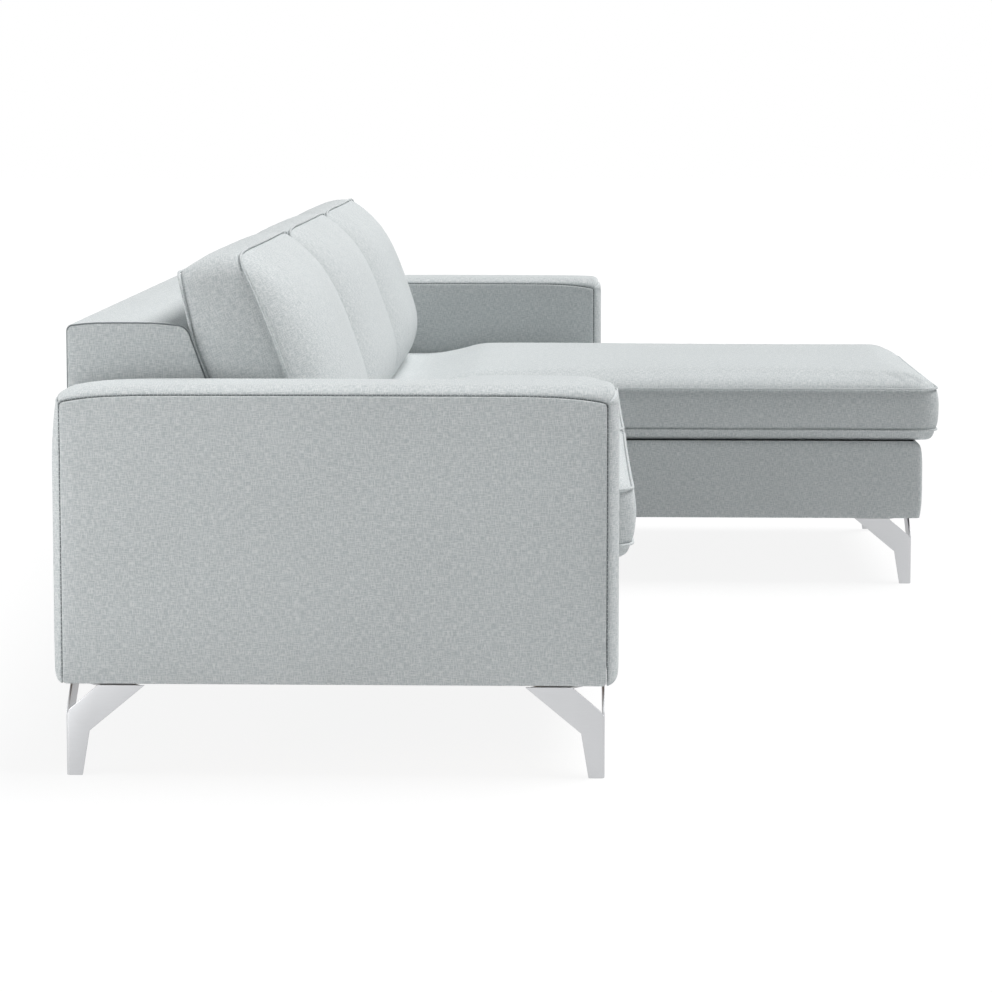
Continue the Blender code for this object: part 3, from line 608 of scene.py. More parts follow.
def points(obj: bpy.types.Object) -> np.ndarray:
    """Reads a mesh's vertices.

    Args:
        obj: The mesh object.

    Returns:
        One row for each vertex.
    """
    found = np.empty(len(obj.data.vertices) * 3)
    obj.data.vertices.foreach_get("co", found)
    return found.reshape(-1, 3)


def move_points(obj: bpy.types.Object, places: np.ndarray) -> None:
    """Writes a mesh's vertices."""
    obj.data.vertices.foreach_set("co", np.ascontiguousarray(places, dtype=float).ravel())
    obj.data.update()


def new_box(name: str, low: Sequence[float], high: Sequence[float]) -> bpy.types.Object:
    """Adds a cube primitive at its size and place.

    Args:
        name: The object's name.
        low: The lowest corner.
        high: The highest corner.

    Returns:
        The object, with its place in its mesh.
    """
    deselect()
    bpy.ops.mesh.primitive_cube_add(size=1.0)
    obj = bpy.context.object
    obj.name = name
    size, middle = np.subtract(high, low), np.add(high, low) / 2
    move_points(obj, points(obj) * size + middle)
    return obj


def new_grid(name: str, across: int, along: int) -> bpy.types.Object:
    """Adds a grid primitive that spans -1 to 1 both ways.

    Args:
        name: The object's name.
        across: Faces along X.
        along: Faces along Y.

    Returns:
        The object.
    """
    deselect()
    bpy.ops.mesh.primitive_grid_add(x_subdivisions=across, y_subdivisions=along, size=2.0)
    obj = bpy.context.object
    obj.name = name
    return obj


def cut_lattice(obj: bpy.types.Object, cuts: Sequence[int]) -> None:
    """Cuts a box into a lattice of faces.

    Args:
        obj: A box along the axes.
        cuts: How many cuts along each axis.
    """
    with edit_mode(obj):
        for axis, count in zip(Along, cuts):
            others = [i for i in range(3) if i != axis.value]
            select_edges(obj, lambda a, b: all(abs(a[i] - b[i]) < 1e-6 for i in others))
            if count:
                bpy.ops.mesh.subdivide(number_cuts=count)


def apply_modifier(obj: bpy.types.Object, kind: str, **settings: object) -> None:
    """Adds a modifier and applies it.

    Args:
        obj: The object.
        kind: The modifier's type.
        settings: Its settings.
    """
    activate(obj)
    modifier = obj.modifiers.new(kind.lower(), kind)
    for key, value in settings.items():
        setattr(modifier, key, value)
    bpy.ops.object.modifier_apply(modifier=modifier.name)


def soften(obj: bpy.types.Object, width: float, segments: int = 3, angle: float = 50.0) -> None:
    """Rounds a piece's sharp edges.

    Args:
        obj: The object.
        width: The bevel's width.
        segments: Its segments.
        angle: Edges sharper than this are rounded, in degrees.
    """
    settings = {"width": width, "segments": segments, "limit_method": "ANGLE"}
    apply_modifier(obj, "BEVEL", angle_limit=math.radians(angle), **settings)


def refine(obj: bpy.types.Object, levels: int = 1) -> None:
    """Applies a subdivision surface."""
    apply_modifier(obj, "SUBSURF", levels=levels, render_levels=levels)


def face_outwards(obj: bpy.types.Object) -> None:
    """Merges doubles and turns every face outwards."""
    with edit_mode(obj):
        bpy.ops.mesh.select_all(action="SELECT")
        bpy.ops.mesh.remove_doubles(threshold=1e-6)
        bpy.ops.mesh.normals_make_consistent(inside=False)


def smooth_shading(obj: bpy.types.Object, angle: float = 180.0) -> None:
    """Shades a piece smooth up to an angle.

    Args:
        obj: The object.
        angle: Edges sharper than this stay sharp, in degrees.
    """
    activate(obj)
    if angle >= 180.0:
        bpy.ops.object.shade_smooth()
    else:
        bpy.ops.object.shade_smooth_by_angle(angle=math.radians(angle))


def map_weave(obj: bpy.types.Object) -> None:
    """Lays a UV map in metres on a piece, each face from the side it looks to.

    Args:
        obj: The object.
    """
    mesh = obj.data
    layer = mesh.uv_layers.get(WEAVE_MAP) or mesh.uv_layers.new(name=WEAVE_MAP)
    normals = np.empty(len(mesh.polygons) * 3)
    mesh.polygons.foreach_get("normal", normals)
    facing = np.abs(normals.reshape(-1, 3)).argmax(axis=1)
    counts = np.empty(len(mesh.polygons), dtype=int)
    mesh.polygons.foreach_get("loop_total", counts)
    corners = np.empty(len(mesh.loops), dtype=int)
    mesh.loops.foreach_get("vertex_index", corners)
    places, facing = points(obj)[corners], np.repeat(facing, counts)
    across = np.where(facing == 0, places[:, 1], places[:, 0])
    along = np.where(facing == 2, places[:, 1], places[:, 2])
    layer.data.foreach_set("uv", np.stack([across, along], axis=1).ravel())


def join(objects: Sequence[bpy.types.Object], name: str) -> bpy.types.Object:
    """Joins objects into one.

    Args:
        objects: What is joined; the first one stays.
        name: The joined object's name.

    Returns:
        The joined object.
    """
    activate(objects[0])
    for obj in objects[1:]:
        obj.select_set(True)
    if len(objects) > 1:
        bpy.ops.object.join()
    objects[0].name = name
    return objects[0]


def copy_of(obj: bpy.types.Object, name: str, matrix: Matrix) -> bpy.types.Object:
    """Copies an object with its own mesh, moved by a matrix.

    Args:
        obj: What is copied.
        name: The copy's name.
        matrix: The move; one that mirrors gets its faces turned out again.

    Returns:
        The copy.
    """
    twin = obj.copy()
    twin.data = obj.data.copy()
    twin.name = name
    bpy.context.scene.collection.objects.link(twin)
    twin.data.transform(matrix)
    if matrix.determinant() < 0:
        twin.data.flip_normals()
    twin.data.update()
    return twin


def new_tube(name: str, path: np.ndarray, radius: float, closed: bool) -> bpy.types.Object:
    """Makes a round cord of cloth along a path.

    Args:
        name: The object's name.
        path: Its points.
        radius: Its radius.
        closed: Whether its ends meet.

    Returns:
        The mesh object.
    """
    curve = bpy.data.curves.new(name, "CURVE")
    curve.dimensions = "3D"
    curve.bevel_depth = radius
    curve.bevel_resolution = 2
    curve.use_fill_caps = not closed
    spline = curve.splines.new("POLY")
    spline.points.add(len(path) - 1)
    for point, place in zip(spline.points, path):
        point.co = (*place, 1.0)
    spline.use_cyclic_u = closed
    obj = bpy.data.objects.new(name, curve)
    bpy.context.scene.collection.objects.link(obj)
    activate(obj)
    bpy.ops.object.convert(target="MESH")
    face_outwards(bpy.context.object)
    smooth_shading(bpy.context.object)
    return bpy.context.object


def finish_piece(
    obj: bpy.types.Object,
    material: bpy.types.Material,
    body: str = BODY_FRAME,
    replaced: Sequence[str] = (),
) -> bpy.types.Object:
    """Gives a piece its material and its place on the frame.

    Args:
        obj: The finished mesh.
        material: Its material.
        body: The body that carries it.
        replaced: CAD nodes that it stands for.

    Returns:
        The piece.
    """
    obj.data.materials.clear()
    obj.data.materials.append(material)
    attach(obj, body)
    if replaced:
        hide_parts(*replaced)
    log.info("%s: %d faces on %s", obj.name, len(obj.data.polygons), body)
    return obj


@dataclass(frozen=True)
class Stuffing:
    """How a padded form is filled and swelled."""

    pressure: float = 4.0
    reach: float = 0.010
    slack: float = 0.004
    frames: int = 20

    def swell(self, obj: bpy.types.Object, held: np.ndarray) -> None:
        """Swells a piece with a cloth simulation and applies the result.

        Args:
            obj: The piece.
            held: How firmly each vertex is held, from 0 to 1.
        """
        start = points(obj)
        group = obj.vertex_groups.new(name="held")
        for weight in np.unique(held[held > 0]):
            group.add(np.flatnonzero(held == weight).tolist(), float(weight), "REPLACE")
        activate(obj)
        modifier = obj.modifiers.new("swell", "CLOTH")
        cloth = modifier.settings
        cloth.quality = 5
        cloth.mass = 0.3
        cloth.tension_stiffness = cloth.compression_stiffness = 20.0
        cloth.shear_stiffness = 8.0
        cloth.bending_stiffness = 0.8
        cloth.use_pressure = True
        cloth.uniform_pressure_force = self.pressure
        cloth.shrink_min = -self.slack
        cloth.vertex_group_mass = group.name
        cloth.effector_weights.gravity = 0.0
        modifier.collision_settings.use_collision = False
        modifier.point_cache.frame_end = self.frames
        for number in range(1, self.frames + 1):
            bpy.context.scene.frame_set(number)
        bpy.ops.object.modifier_apply(modifier=modifier.name)
        bpy.context.scene.frame_set(1)
        obj.vertex_groups.clear()
        moved = points(obj) - start
        length = np.linalg.norm(moved, axis=1, keepdims=True)
        capped = self.reach * np.tanh(length / self.reach) / np.maximum(length, 1e-9)
        free = (1.0 - held)[:, None]
        log.info("%s swelled by %.1f mm", obj.name, 1000 * float(length.max()))
        move_points(obj, start + moved * capped * free)


def smoothstep(value: np.ndarray) -> np.ndarray:
    """Eases 0 to 1."""
    held = np.clip(value, 0.0, 1.0)
    return held * held * (3.0 - 2.0 * held)


def crowd(value: np.ndarray, amount: float) -> np.ndarray:
    """Crowds values of -1 to 1 towards both ends.

    Args:
        value: The values.
        amount: How much, from 0 to below 0.5.

    Returns:
        The moved values.
    """
    return value * (1.0 + amount) - amount * value**3


def rounded(
    across: np.ndarray, along: np.ndarray, half: tuple[float, float], corner: float
) -> tuple[np.ndarray, np.ndarray]:
    """Maps a square of -1 to 1 onto a rectangle with round corners.

    Args:
        across: Places along the first side.
        along: Places along the second side.
        half: Half of both sides.
        corner: The corners' radius.

    Returns:
        The places on the rectangle.
    """
    ring = np.maximum(np.maximum(np.abs(across), np.abs(along)), 1e-9)
    size = [half[0] * ring, half[1] * ring]
    radius = np.minimum(corner * ring, np.minimum(size[0], size[1]) * 0.999)
    sharp = [np.abs(across) * half[0], np.abs(along) * half[1]]
    on_first = np.abs(across) * 1.0 >= np.abs(along)
    turn_far = np.clip((sharp[1] - (size[1] - radius)) / radius, 0.0, 1.0) * math.pi / 4
    turn_near = np.clip((sharp[0] - (size[0] - radius)) / radius, 0.0, 1.0) * math.pi / 4
    first = np.where(
        on_first,
        size[0] - radius + radius * np.cos(turn_far),
        np.where(turn_near > 0, size[0] - radius + radius * np.sin(turn_near), sharp[0]),
    )
    second = np.where(
        on_first,
        np.where(turn_far > 0, size[1] - radius + radius * np.sin(turn_far), sharp[1]),
        size[1] - radius + radius * np.cos(turn_near),
    )
    return np.sign(across) * first, np.sign(along) * second


# Cushions


@dataclass
class BoxedCushion:
    """A loose cushion: two crowned panels, a boxing between them and two welts.

    It is built lying down: X across, Y along and Z through its thickness.
    """

    name: str
    body: str
    node: str
    half: tuple[float, float]
    seams: tuple[float, float]
    crown: float
    edge_powers: tuple[float, float]
    dome_powers: tuple[float, float]
    dome_share: float
    underside: float
    corner: float
    bulge: tuple[float, float]
    pull_in: float
    rest_matrix: Matrix
    press: tuple[float, float, float] | None = None
    end_bow: float = 0.0
    welt: float = 0.0024
    fill: float = 0.75
    spacing: float = 0.012
    centre: float = 0.0
    seam_bow: float = 0.0
    top_bow: float = 0.0
    lower_lift: float = 0.0
    lower_edge: float = 0.02
    seam_dip: float = 0.003
    seam_reach: float = 0.012
    welt_out: float = 0.0012
    crowding: float = 0.28
    level_crowding: float = 0.3
    firm: float = 0.8

    def outline(
        self, across: np.ndarray, along: np.ndarray, level: np.ndarray
    ) -> tuple[np.ndarray, np.ndarray]:
        """Places points of the boxing's outline.

        Args:
            across: Places along X, from -1 to 1.
            along: Places along Y, from -1 to 1.
            level: Height between the seams, from -1 to 1, or beyond for the panels.

        Returns:
            X and Y of each point.
        """
        x, y = rounded(across, along, self.half, self.corner)
        side_x = np.clip(np.abs(x) / self.half[0], 0, 1) ** 6
        side_y = np.clip(np.abs(y) / self.half[1], 0, 1) ** 6
        away_x = 1.0 - np.abs(y / self.half[1]) ** 3
        away_y = 1.0 - np.abs(x / self.half[0]) ** 3
        swell = np.clip(1.0 - np.abs(level) ** 3, 0.0, 1.0)
        x = x + np.sign(x) * side_x * (self.bulge[0] * swell * (0.5 + 0.5 * away_x) - self.pull_in * away_x)
        y = y + np.sign(y) * side_y * (self.bulge[1] * swell * (0.5 + 0.5 * away_y) - self.pull_in * away_y)
        droop = self.end_bow * np.clip(level + 1.0, 0.0, 2.0) / 2 * np.abs(x / self.half[0]) ** 8
        y = y - np.where(y > 0, side_y * droop, 0.0)
        return x, y

    def shape(self, unit: np.ndarray) -> np.ndarray:
        """Maps the lattice of a cube onto the cushion.

        Args:
            unit: Points of a cube of -1 to 1.

        Returns:
            The cushion's points.
        """
        across, along = crowd(unit[:, 0], self.crowding), crowd(unit[:, 1], self.crowding)
        level = crowd(unit[:, 2], self.level_crowding)
        x, y = self.outline(across, along, level)
        flat_x, flat_y = rounded(across, along, self.half, self.corner)
        wide, deep = self.reach_of(flat_x, flat_y)
        on_seam = np.where((np.abs(level) > 0.999) & (np.maximum(wide, deep) > 0.999), self.seam_dip, 0.0)
        x = x - np.sign(x) * wide**6 * on_seam
        y = y - np.sign(y) * deep**6 * on_seam
        low, high = self.seam_heights(across, along)
        z = low + (high - low) * (level + 1.0) / 2.0 - 0.3 * on_seam * np.sign(level)
        rise = self.rise(wide, deep * np.sign(along))
        crown = self.crown * rise
        if self.press:
            flat, start, end = self.press
            pressed = smoothstep((y - start) / (end - start))
            crown = crown * (1.0 - pressed) + flat * pressed * np.minimum(1.0, rise * 4.0)
        inside = np.minimum((1.0 - wide) * self.half[0], (1.0 - deep) * self.half[1])
        turned = 1.0 - np.clip(inside / self.lower_edge, 0.0, 1.0)
        drop = self.underside * np.sqrt(1.0 - turned**2)
        z = np.where(level > 0.999, high + crown, np.where(level < -0.999, low - drop, z))
        return np.stack([x, y, z], axis=1)

    def rise(self, wide: np.ndarray, deep: np.ndarray) -> np.ndarray:
        """Shapes the crown: a steep edge under a wide dome.

        Args:
            wide: Share of the reach across.
            deep: Share of the reach along, from -1 to 1.

        Returns:
            The share of the crown.
        """
        away = np.abs(deep - self.centre) / np.where(deep > self.centre, 1.0 - self.centre, 1.0 + self.centre)
        edge, dome = (
            (1.0 - wide ** powers[0]) * (1.0 - np.clip(away, 0.0, 1.0) ** powers[1])
            for powers in (self.edge_powers, self.dome_powers)
        )
        return edge * (1.0 - self.dome_share) + dome * self.dome_share

    def reach_of(self, x: np.ndarray, y: np.ndarray) -> tuple[np.ndarray, np.ndarray]:
        """Measures how near points are to the round-cornered outline.

        Args:
            x: Places across.
            y: Places along.

        Returns:
            The share of the outline's reach, 1 on it, across and along.
        """
        shares = []
        for place, other, half, far in ((x, y, *self.half), (y, x, *self.half[::-1])):
            into = np.clip(np.abs(other) - (far - self.corner), 0.0, self.corner)
            reach = half - self.corner + np.sqrt(self.corner**2 - into**2)
            shares.append(np.clip(np.abs(place) / np.maximum(reach, 1e-6), 0.0, 1.0))
        return shares[0], shares[1]

    def seam_heights(self, across: np.ndarray, along: np.ndarray) -> tuple[np.ndarray, np.ndarray]:
        """Gives the height of both seams along the cushion.

        Args:
            across: Places along X, from -1 to 1.
            along: Places along Y, from -1 to 1.

        Returns:
            The lower and the upper seam's height.
        """
        low = self.seams[0] + self.lower_lift * smoothstep((along - 0.3) / 0.7)
        high = self.seams[1] + self.seam_bow * (1.0 - np.abs(along) ** 2.5)
        high = high + self.top_bow * (1.0 - np.abs(across) ** 3) * smoothstep((along - 0.5) / 0.5)
        return low, high

    def build(self, material: bpy.types.Material) -> list[bpy.types.Object]:
        """Builds the cushion and its welts.

        Args:
            material: The cloth.

        Returns:
            The cushion and its welts.
        """
        cover = new_box(self.name, (-1, -1, -1), (1, 1, 1))
        height = self.seams[1] - self.seams[0]
        cuts = [int(round(2 * size / self.spacing)) for size in self.half]
        cut_lattice(cover, [*cuts, max(3, int(height / self.spacing))])
        unit = points(cover)
        move_points(cover, self.shape(unit))
        on_seam = (np.abs(np.abs(unit[:, 2]) - 1.0) < 1e-6) & (np.abs(unit[:, :2]).max(axis=1) > 1 - 1e-6)
        across, along = crowd(unit[:, 0], self.crowding), crowd(unit[:, 1], self.crowding)
        wide, deep = self.reach_of(*rounded(across, along, self.half, self.corner))
        inside = np.minimum((1.0 - wide) * self.half[0], (1.0 - deep) * self.half[1])
        below = (1.0 - np.abs(crowd(unit[:, 2], self.level_crowding))) * height / 2
        near = np.round(self.firm * np.exp(-np.hypot(inside, below) / self.seam_reach), 1)
        held = np.where(on_seam, 1.0, near)
        held = np.maximum(held, np.where(unit[:, 2] < -0.999, self.firm, 0.0))
        if self.press:
            flat, start, end = self.press
            pressed = smoothstep((points(cover)[:, 1] - start) / (end - start))
            held = np.maximum(held, np.where(unit[:, 2] > 0.999, np.round(pressed, 1), 0.0))
        Stuffing(reach=0.006).swell(cover, held)
        refine(cover)
        smooth_shading(cover)
        map_weave(cover)
        cover.data.transform(self.rest_matrix)
        pieces = [finish_piece(cover, material, self.body, [self.node])]
        for level, place in ((1.0, "upper"), (-1.0, "lower")):
            welt = self.seam_cord(level, f"{self.name}_{place}_welt")
            map_weave(welt)
            welt.data.transform(self.rest_matrix)
            pieces.append(finish_piece(welt, material, self.body))
        return pieces

    def seam_cord(self, level: float, name: str) -> bpy.types.Object:
        """Makes the welt of one seam.

        Args:
            level: -1 for the lower seam and 1 for the upper one.
            name: The welt's name.

        Returns:
            The mesh object.
        """
        side = np.linspace(-1, 1, 61)[:-1]
        one = np.ones_like(side)
        across = crowd(np.concatenate([side, one, -side, -one]), self.crowding)
        along = crowd(np.concatenate([-one, side, one, -side]), self.crowding)
        x, y = self.outline(across, along, np.full_like(across, level))
        z = self.seam_heights(across, along)[0 if level < 0 else 1]
        x, y = x * (1.0 + self.welt_out / self.half[0]), y * (1.0 + self.welt_out / self.half[1])
        path = np.stack([x, y, z + 0.5 * level * self.welt_out], axis=1)
        step = np.linalg.norm(path - np.roll(path, 1, axis=0), axis=1)
        return new_tube(name, path[step > 1e-4], self.welt, True)


# Arm covers


@dataclass
class ArmUpholstery:
    """The padded cover of one arm: two pillowed panels and a crowned band."""

    outer_seam: float = 1.392
    inner_seam: float = 1.238
    front_seam: float = -0.0635
    rear_seam: float = 0.815
    bottom: float = 0.149
    corner_height: float = 0.606
    top_bow: float = 0.012
    bow_power: float = 9.0
    front_crown: float = 0.0178
    rear_crown: float = 0.0187
    top_crown: float = 0.0135
    panel_crown: float = 0.0065
    corner: float = 0.0045
    corner_crown: float = 0.0115
    crest_hold: float = 0.85
    front_edge: float = 0.05
    top_edge: float = 0.04
    wall: float = 0.0055
    cross_seam: float = 0.0055
    turn_powers: tuple[float, float] = (2.15, 2.0)
    seam_gap: float = 0.0009
    band_inset: float = 0.0032
    stitch_inset: float = 0.0028
    stitch_radius: float = 0.0007
    stitch_pitch: float = 0.0066
    spacing: float = 0.011
    stuffing: Stuffing = Stuffing(reach=0.0015, slack=0.002)

    def top_seam(self, y: np.ndarray) -> np.ndarray:
        """Gives the height of the top seam, which bows up between the corners."""
        middle = (self.front_seam + self.rear_seam) / 2
        part = np.clip(np.abs(y - middle) / ((self.rear_seam - self.front_seam) / 2), 0, 1)
        return self.corner_height + self.top_bow * (1.0 - part**self.bow_power)

    def panel(self, name: str, seam: float, side: float) -> bpy.types.Object:
        """Builds one side panel.

        Args:
            name: The panel's name.
            seam: X of its edge.
            side: The way it looks: -1 or 1 along X.

        Returns:
            The mesh object.
        """
        length, height = self.rear_seam - self.front_seam, self.corner_height - self.bottom
        grid = new_grid(name, int(length / self.spacing), int(height / self.spacing))
        unit = points(grid)
        across, along = crowd(unit[:, 0], 0.2), crowd(unit[:, 1], 0.2)
        y, level = rounded(across, along, (length / 2 - self.seam_gap, height / 2), self.corner)
        y = y + (self.front_seam + self.rear_seam) / 2
        part = (level + height / 2) / height
        z = self.bottom + part * (self.top_seam(y) - self.seam_gap - self.bottom)
        pillow = np.clip((1 - np.abs(across) ** 7) * (1 - np.abs(along) ** 5), 0, 1) ** 0.8
        x = seam + side * self.panel_crown * pillow
        move_points(grid, np.stack([x, y, z], axis=1))
        edge = np.abs(unit[:, :2]).max(axis=1) > 1 - 1e-6
        self.face_side(grid, Along.X, side)
        self.stuffing.swell(grid, edge.astype(float))
        apply_modifier(grid, "SOLIDIFY", thickness=0.012, offset=-1.0)
        soften(grid, 0.003, 4)
        return grid

    def face_side(self, obj: bpy.types.Object, axis: Along, side: float) -> None:
        """Turns an open sheet so that it looks to one side.

        Args:
            obj: The sheet.
            axis: The axis that it looks along.
            side: -1 or 1.
        """
        total = sum(face.normal[axis.value] * face.area for face in obj.data.polygons)
        if total * side < 0:
            obj.data.flip_normals()

    def band_path(self) -> np.ndarray:
        """Lays the band's edge path over front, top and rear.

        Returns:
            Rows of y, z, normal y, normal z, crown, the width of its edge and its dip.
        """
        rows: list[tuple[float, ...]] = []
        upright = np.linspace(0.0, 1.0, 34)
        lift = 0.014
        full = (self.outer_seam - self.inner_seam) / 2

        def tuck(z: float) -> float:
            """Draws the band in where it turns under the arm."""
            part = min(1.0, max(0.0, (z - self.bottom) / lift))
            return 0.5 + 0.5 * math.sqrt(1.0 - (1.0 - part) ** 2)

        def turned(angle: float, side_crown: float, top_crown: float, power: float) -> float:
            """Gives the crown where the band turns a corner."""
            reach = (self.corner + side_crown, self.corner + top_crown)
            size = (math.cos(angle) / reach[0]) ** power + (math.sin(angle) / reach[1]) ** power
            return size ** (-1 / power) - self.corner

        top = self.corner_height - self.corner
        for part in upright:
            z = self.bottom + (top - self.bottom) * part**1.3
            rows.append((self.front_seam, z, -1.0, 0.0, self.front_crown * tuck(z), self.front_edge, 0.0))
        turns = np.linspace(0.0, 1.0, 17)
        crest = len(turns) // 2
        for place, turn in enumerate(turns[1:], 1):
            angle = math.pi / 2 * turn
            y = self.front_seam + self.corner - self.corner * math.cos(angle)
            z = top + self.corner * math.sin(angle)
            crest_crown = self.top_crown + self.crest_hold * self.top_bow
            crown = turned(angle, self.front_crown, crest_crown, self.turn_powers[0])
            edge = self.front_edge + (self.top_edge - self.front_edge) * turn
            dip = self.cross_seam if place == crest else 0.0
            rows.append((y, z, -math.cos(angle), math.sin(angle), crown, edge, dip))
        span = crowd(np.linspace(-1.0, 1.0, 84), 0.35)
        reach = (self.rear_seam - self.front_seam) / 2 - self.corner
        middle = (self.front_seam + self.rear_seam) / 2
        for part in span[1:-1]:
            y = middle + reach * part
            z = float(self.top_seam(np.array([y]))[0])
            behind, ahead = self.top_seam(np.array([y - SLOPE_STEP, y + SLOPE_STEP]))
            slope = float(ahead - behind) / (2 * SLOPE_STEP)
            size = math.hypot(1.0, slope)
            held = self.crest_hold * (self.corner_height + self.top_bow - z) if y < middle else 0.0
            rows.append((y, z, -slope / size, 1.0 / size, self.top_crown + held, self.top_edge, 0.0))
        for place, turn in enumerate(turns[:-1]):
            angle = math.pi / 2 * (1.0 - turn)
            y = self.rear_seam - self.corner + self.corner * math.cos(angle)
            z = top + self.corner * math.sin(angle)
            crown = turned(angle, self.corner_crown, self.top_crown, self.turn_powers[1])
            edge = self.top_edge + (full - self.top_edge) * turn
            dip = self.cross_seam if place == crest else 0.0
            rows.append((y, z, math.cos(angle), math.sin(angle), crown, edge, dip))
        for part in upright[::-1]:
            z = self.bottom + (top - self.bottom) * part**1.3
            grown = math.sin(math.pi / 2 * min(1.0, (top - z) / 0.1))
            crown = self.corner_crown + (self.rear_crown - self.corner_crown) * grown
            rows.append((self.rear_seam, z, 1.0, 0.0, crown * tuck(z), full, 0.0))
        return np.array(rows)

    def band(self, name: str) -> bpy.types.Object:
        """Builds the crowned band of the left arm.

        Args:
            name: The band's name.

        Returns:
            The mesh object.
        """
        path = self.band_path()
        across = 26
        grid = new_grid(name, across, len(path) - 1)
        unit = points(grid)
        part = crowd(unit[:, 0], 0.46)
        step = np.rint((unit[:, 1] + 1) / 2 * (len(path) - 1)).astype(int)
        rows = path[step]
        half = (self.outer_seam - self.inner_seam) / 2 - self.band_inset
        middle = -(self.outer_seam + self.inner_seam) / 2
        into = np.clip((1.0 - np.abs(part)) * half / np.minimum(rows[:, 5], half), 0.0, 1.0)
        rise = (1.0 - (1.0 - into) ** 2.3) ** (1 / 2.3)
        x = middle + half * part
        lift = rows[:, 4] * rise - rows[:, 6] * rise**0.3
        places = np.stack([x, rows[:, 0] + rows[:, 2] * lift, rows[:, 1] + rows[:, 3] * lift], axis=1)
        move_points(grid, places)
        self.face_side(grid, Along.Z, 1.0)
        edge = np.abs(unit[:, :2]).max(axis=1) > 1 - 1e-6
        self.stuffing.swell(grid, edge.astype(float))
        apply_modifier(grid, "SOLIDIFY", thickness=self.wall, offset=-1.0)
        return grid

    def stitches(self, name: str) -> bpy.types.Object:
        """Lays dark thread stitches in the grooves of both seams of the left arm; their dark colour is partly
        painted shade for the grooves.

        Args:
            name: Their name.

        Returns:
            The mesh object.
        """
        path = self.band_path()[:, :2]
        along = np.concatenate([[0.0], np.cumsum(np.linalg.norm(np.diff(path, axis=0), axis=1))])
        places = np.arange(0.01, along[-1] - 0.01, self.stitch_pitch)
        y, z = np.interp(places, along, path[:, 0]), np.interp(places, along, path[:, 1])
        slopes = [
            math.atan2(
                *(
                    np.interp(place + SLOPE_STEP, along, row) - np.interp(place - SLOPE_STEP, along, row)
                    for row in (path[:, 1], path[:, 0])
                )
            )
            for place in places
        ]
        reach = 0.36 * self.stitch_pitch
        run = np.array([(0.0, part * reach, 0.0) for part in (-1.0, 0.0, 1.0)])
        pattern = new_tube("stitch", run, self.stitch_radius, False)
        laid = [
            copy_of(pattern, "stitch", Matrix.Translation((x, *place)) @ Matrix.Rotation(slope, 4, "X"))
            for x in (-self.outer_seam + self.stitch_inset, -self.inner_seam - self.stitch_inset)
            for place, slope in zip(zip(y, z), slopes)
        ]
        bpy.data.objects.remove(pattern)
        return join(laid, name)

    def build(self, material: bpy.types.Material, thread: bpy.types.Material) -> list[bpy.types.Object]:
        """Builds the covers of both arms.

        Args:
            material: The cloth.
            thread: The dark sewing thread, whose colour also paints the shade in the seam grooves.

        Returns:
            The pieces of the left arm and of the right one.
        """
        outer = self.panel("left_arm_outer_panel", -self.outer_seam, -1.0)
        inner = self.panel("left_arm_inner_panel", -self.inner_seam, 1.0)
        band = self.band("left_arm_band")
        pieces = []
        mirror = Matrix.Diagonal((-1.0, 1.0, 1.0, 1.0))
        for piece in (band, outer, inner):
            refine(piece)
            smooth_shading(piece)
            map_weave(piece)
            twin = copy_of(piece, piece.name.replace("left", "right"), mirror)
            for side, part in (("left", piece), ("right", twin)):
                replaced = [f"{side}_arm_cover"] if piece is band else []
                pieces.append(finish_piece(part, material, BODY_FRAME, replaced))
        left = self.stitches("left_arm_stitches")
        for part in (left, copy_of(left, "right_arm_stitches", mirror)):
            # The stitches' dark thread is partly painted shade for the seam grooves.
            pieces.append(finish_piece(part, thread, BODY_FRAME))
        return pieces


# Back and base


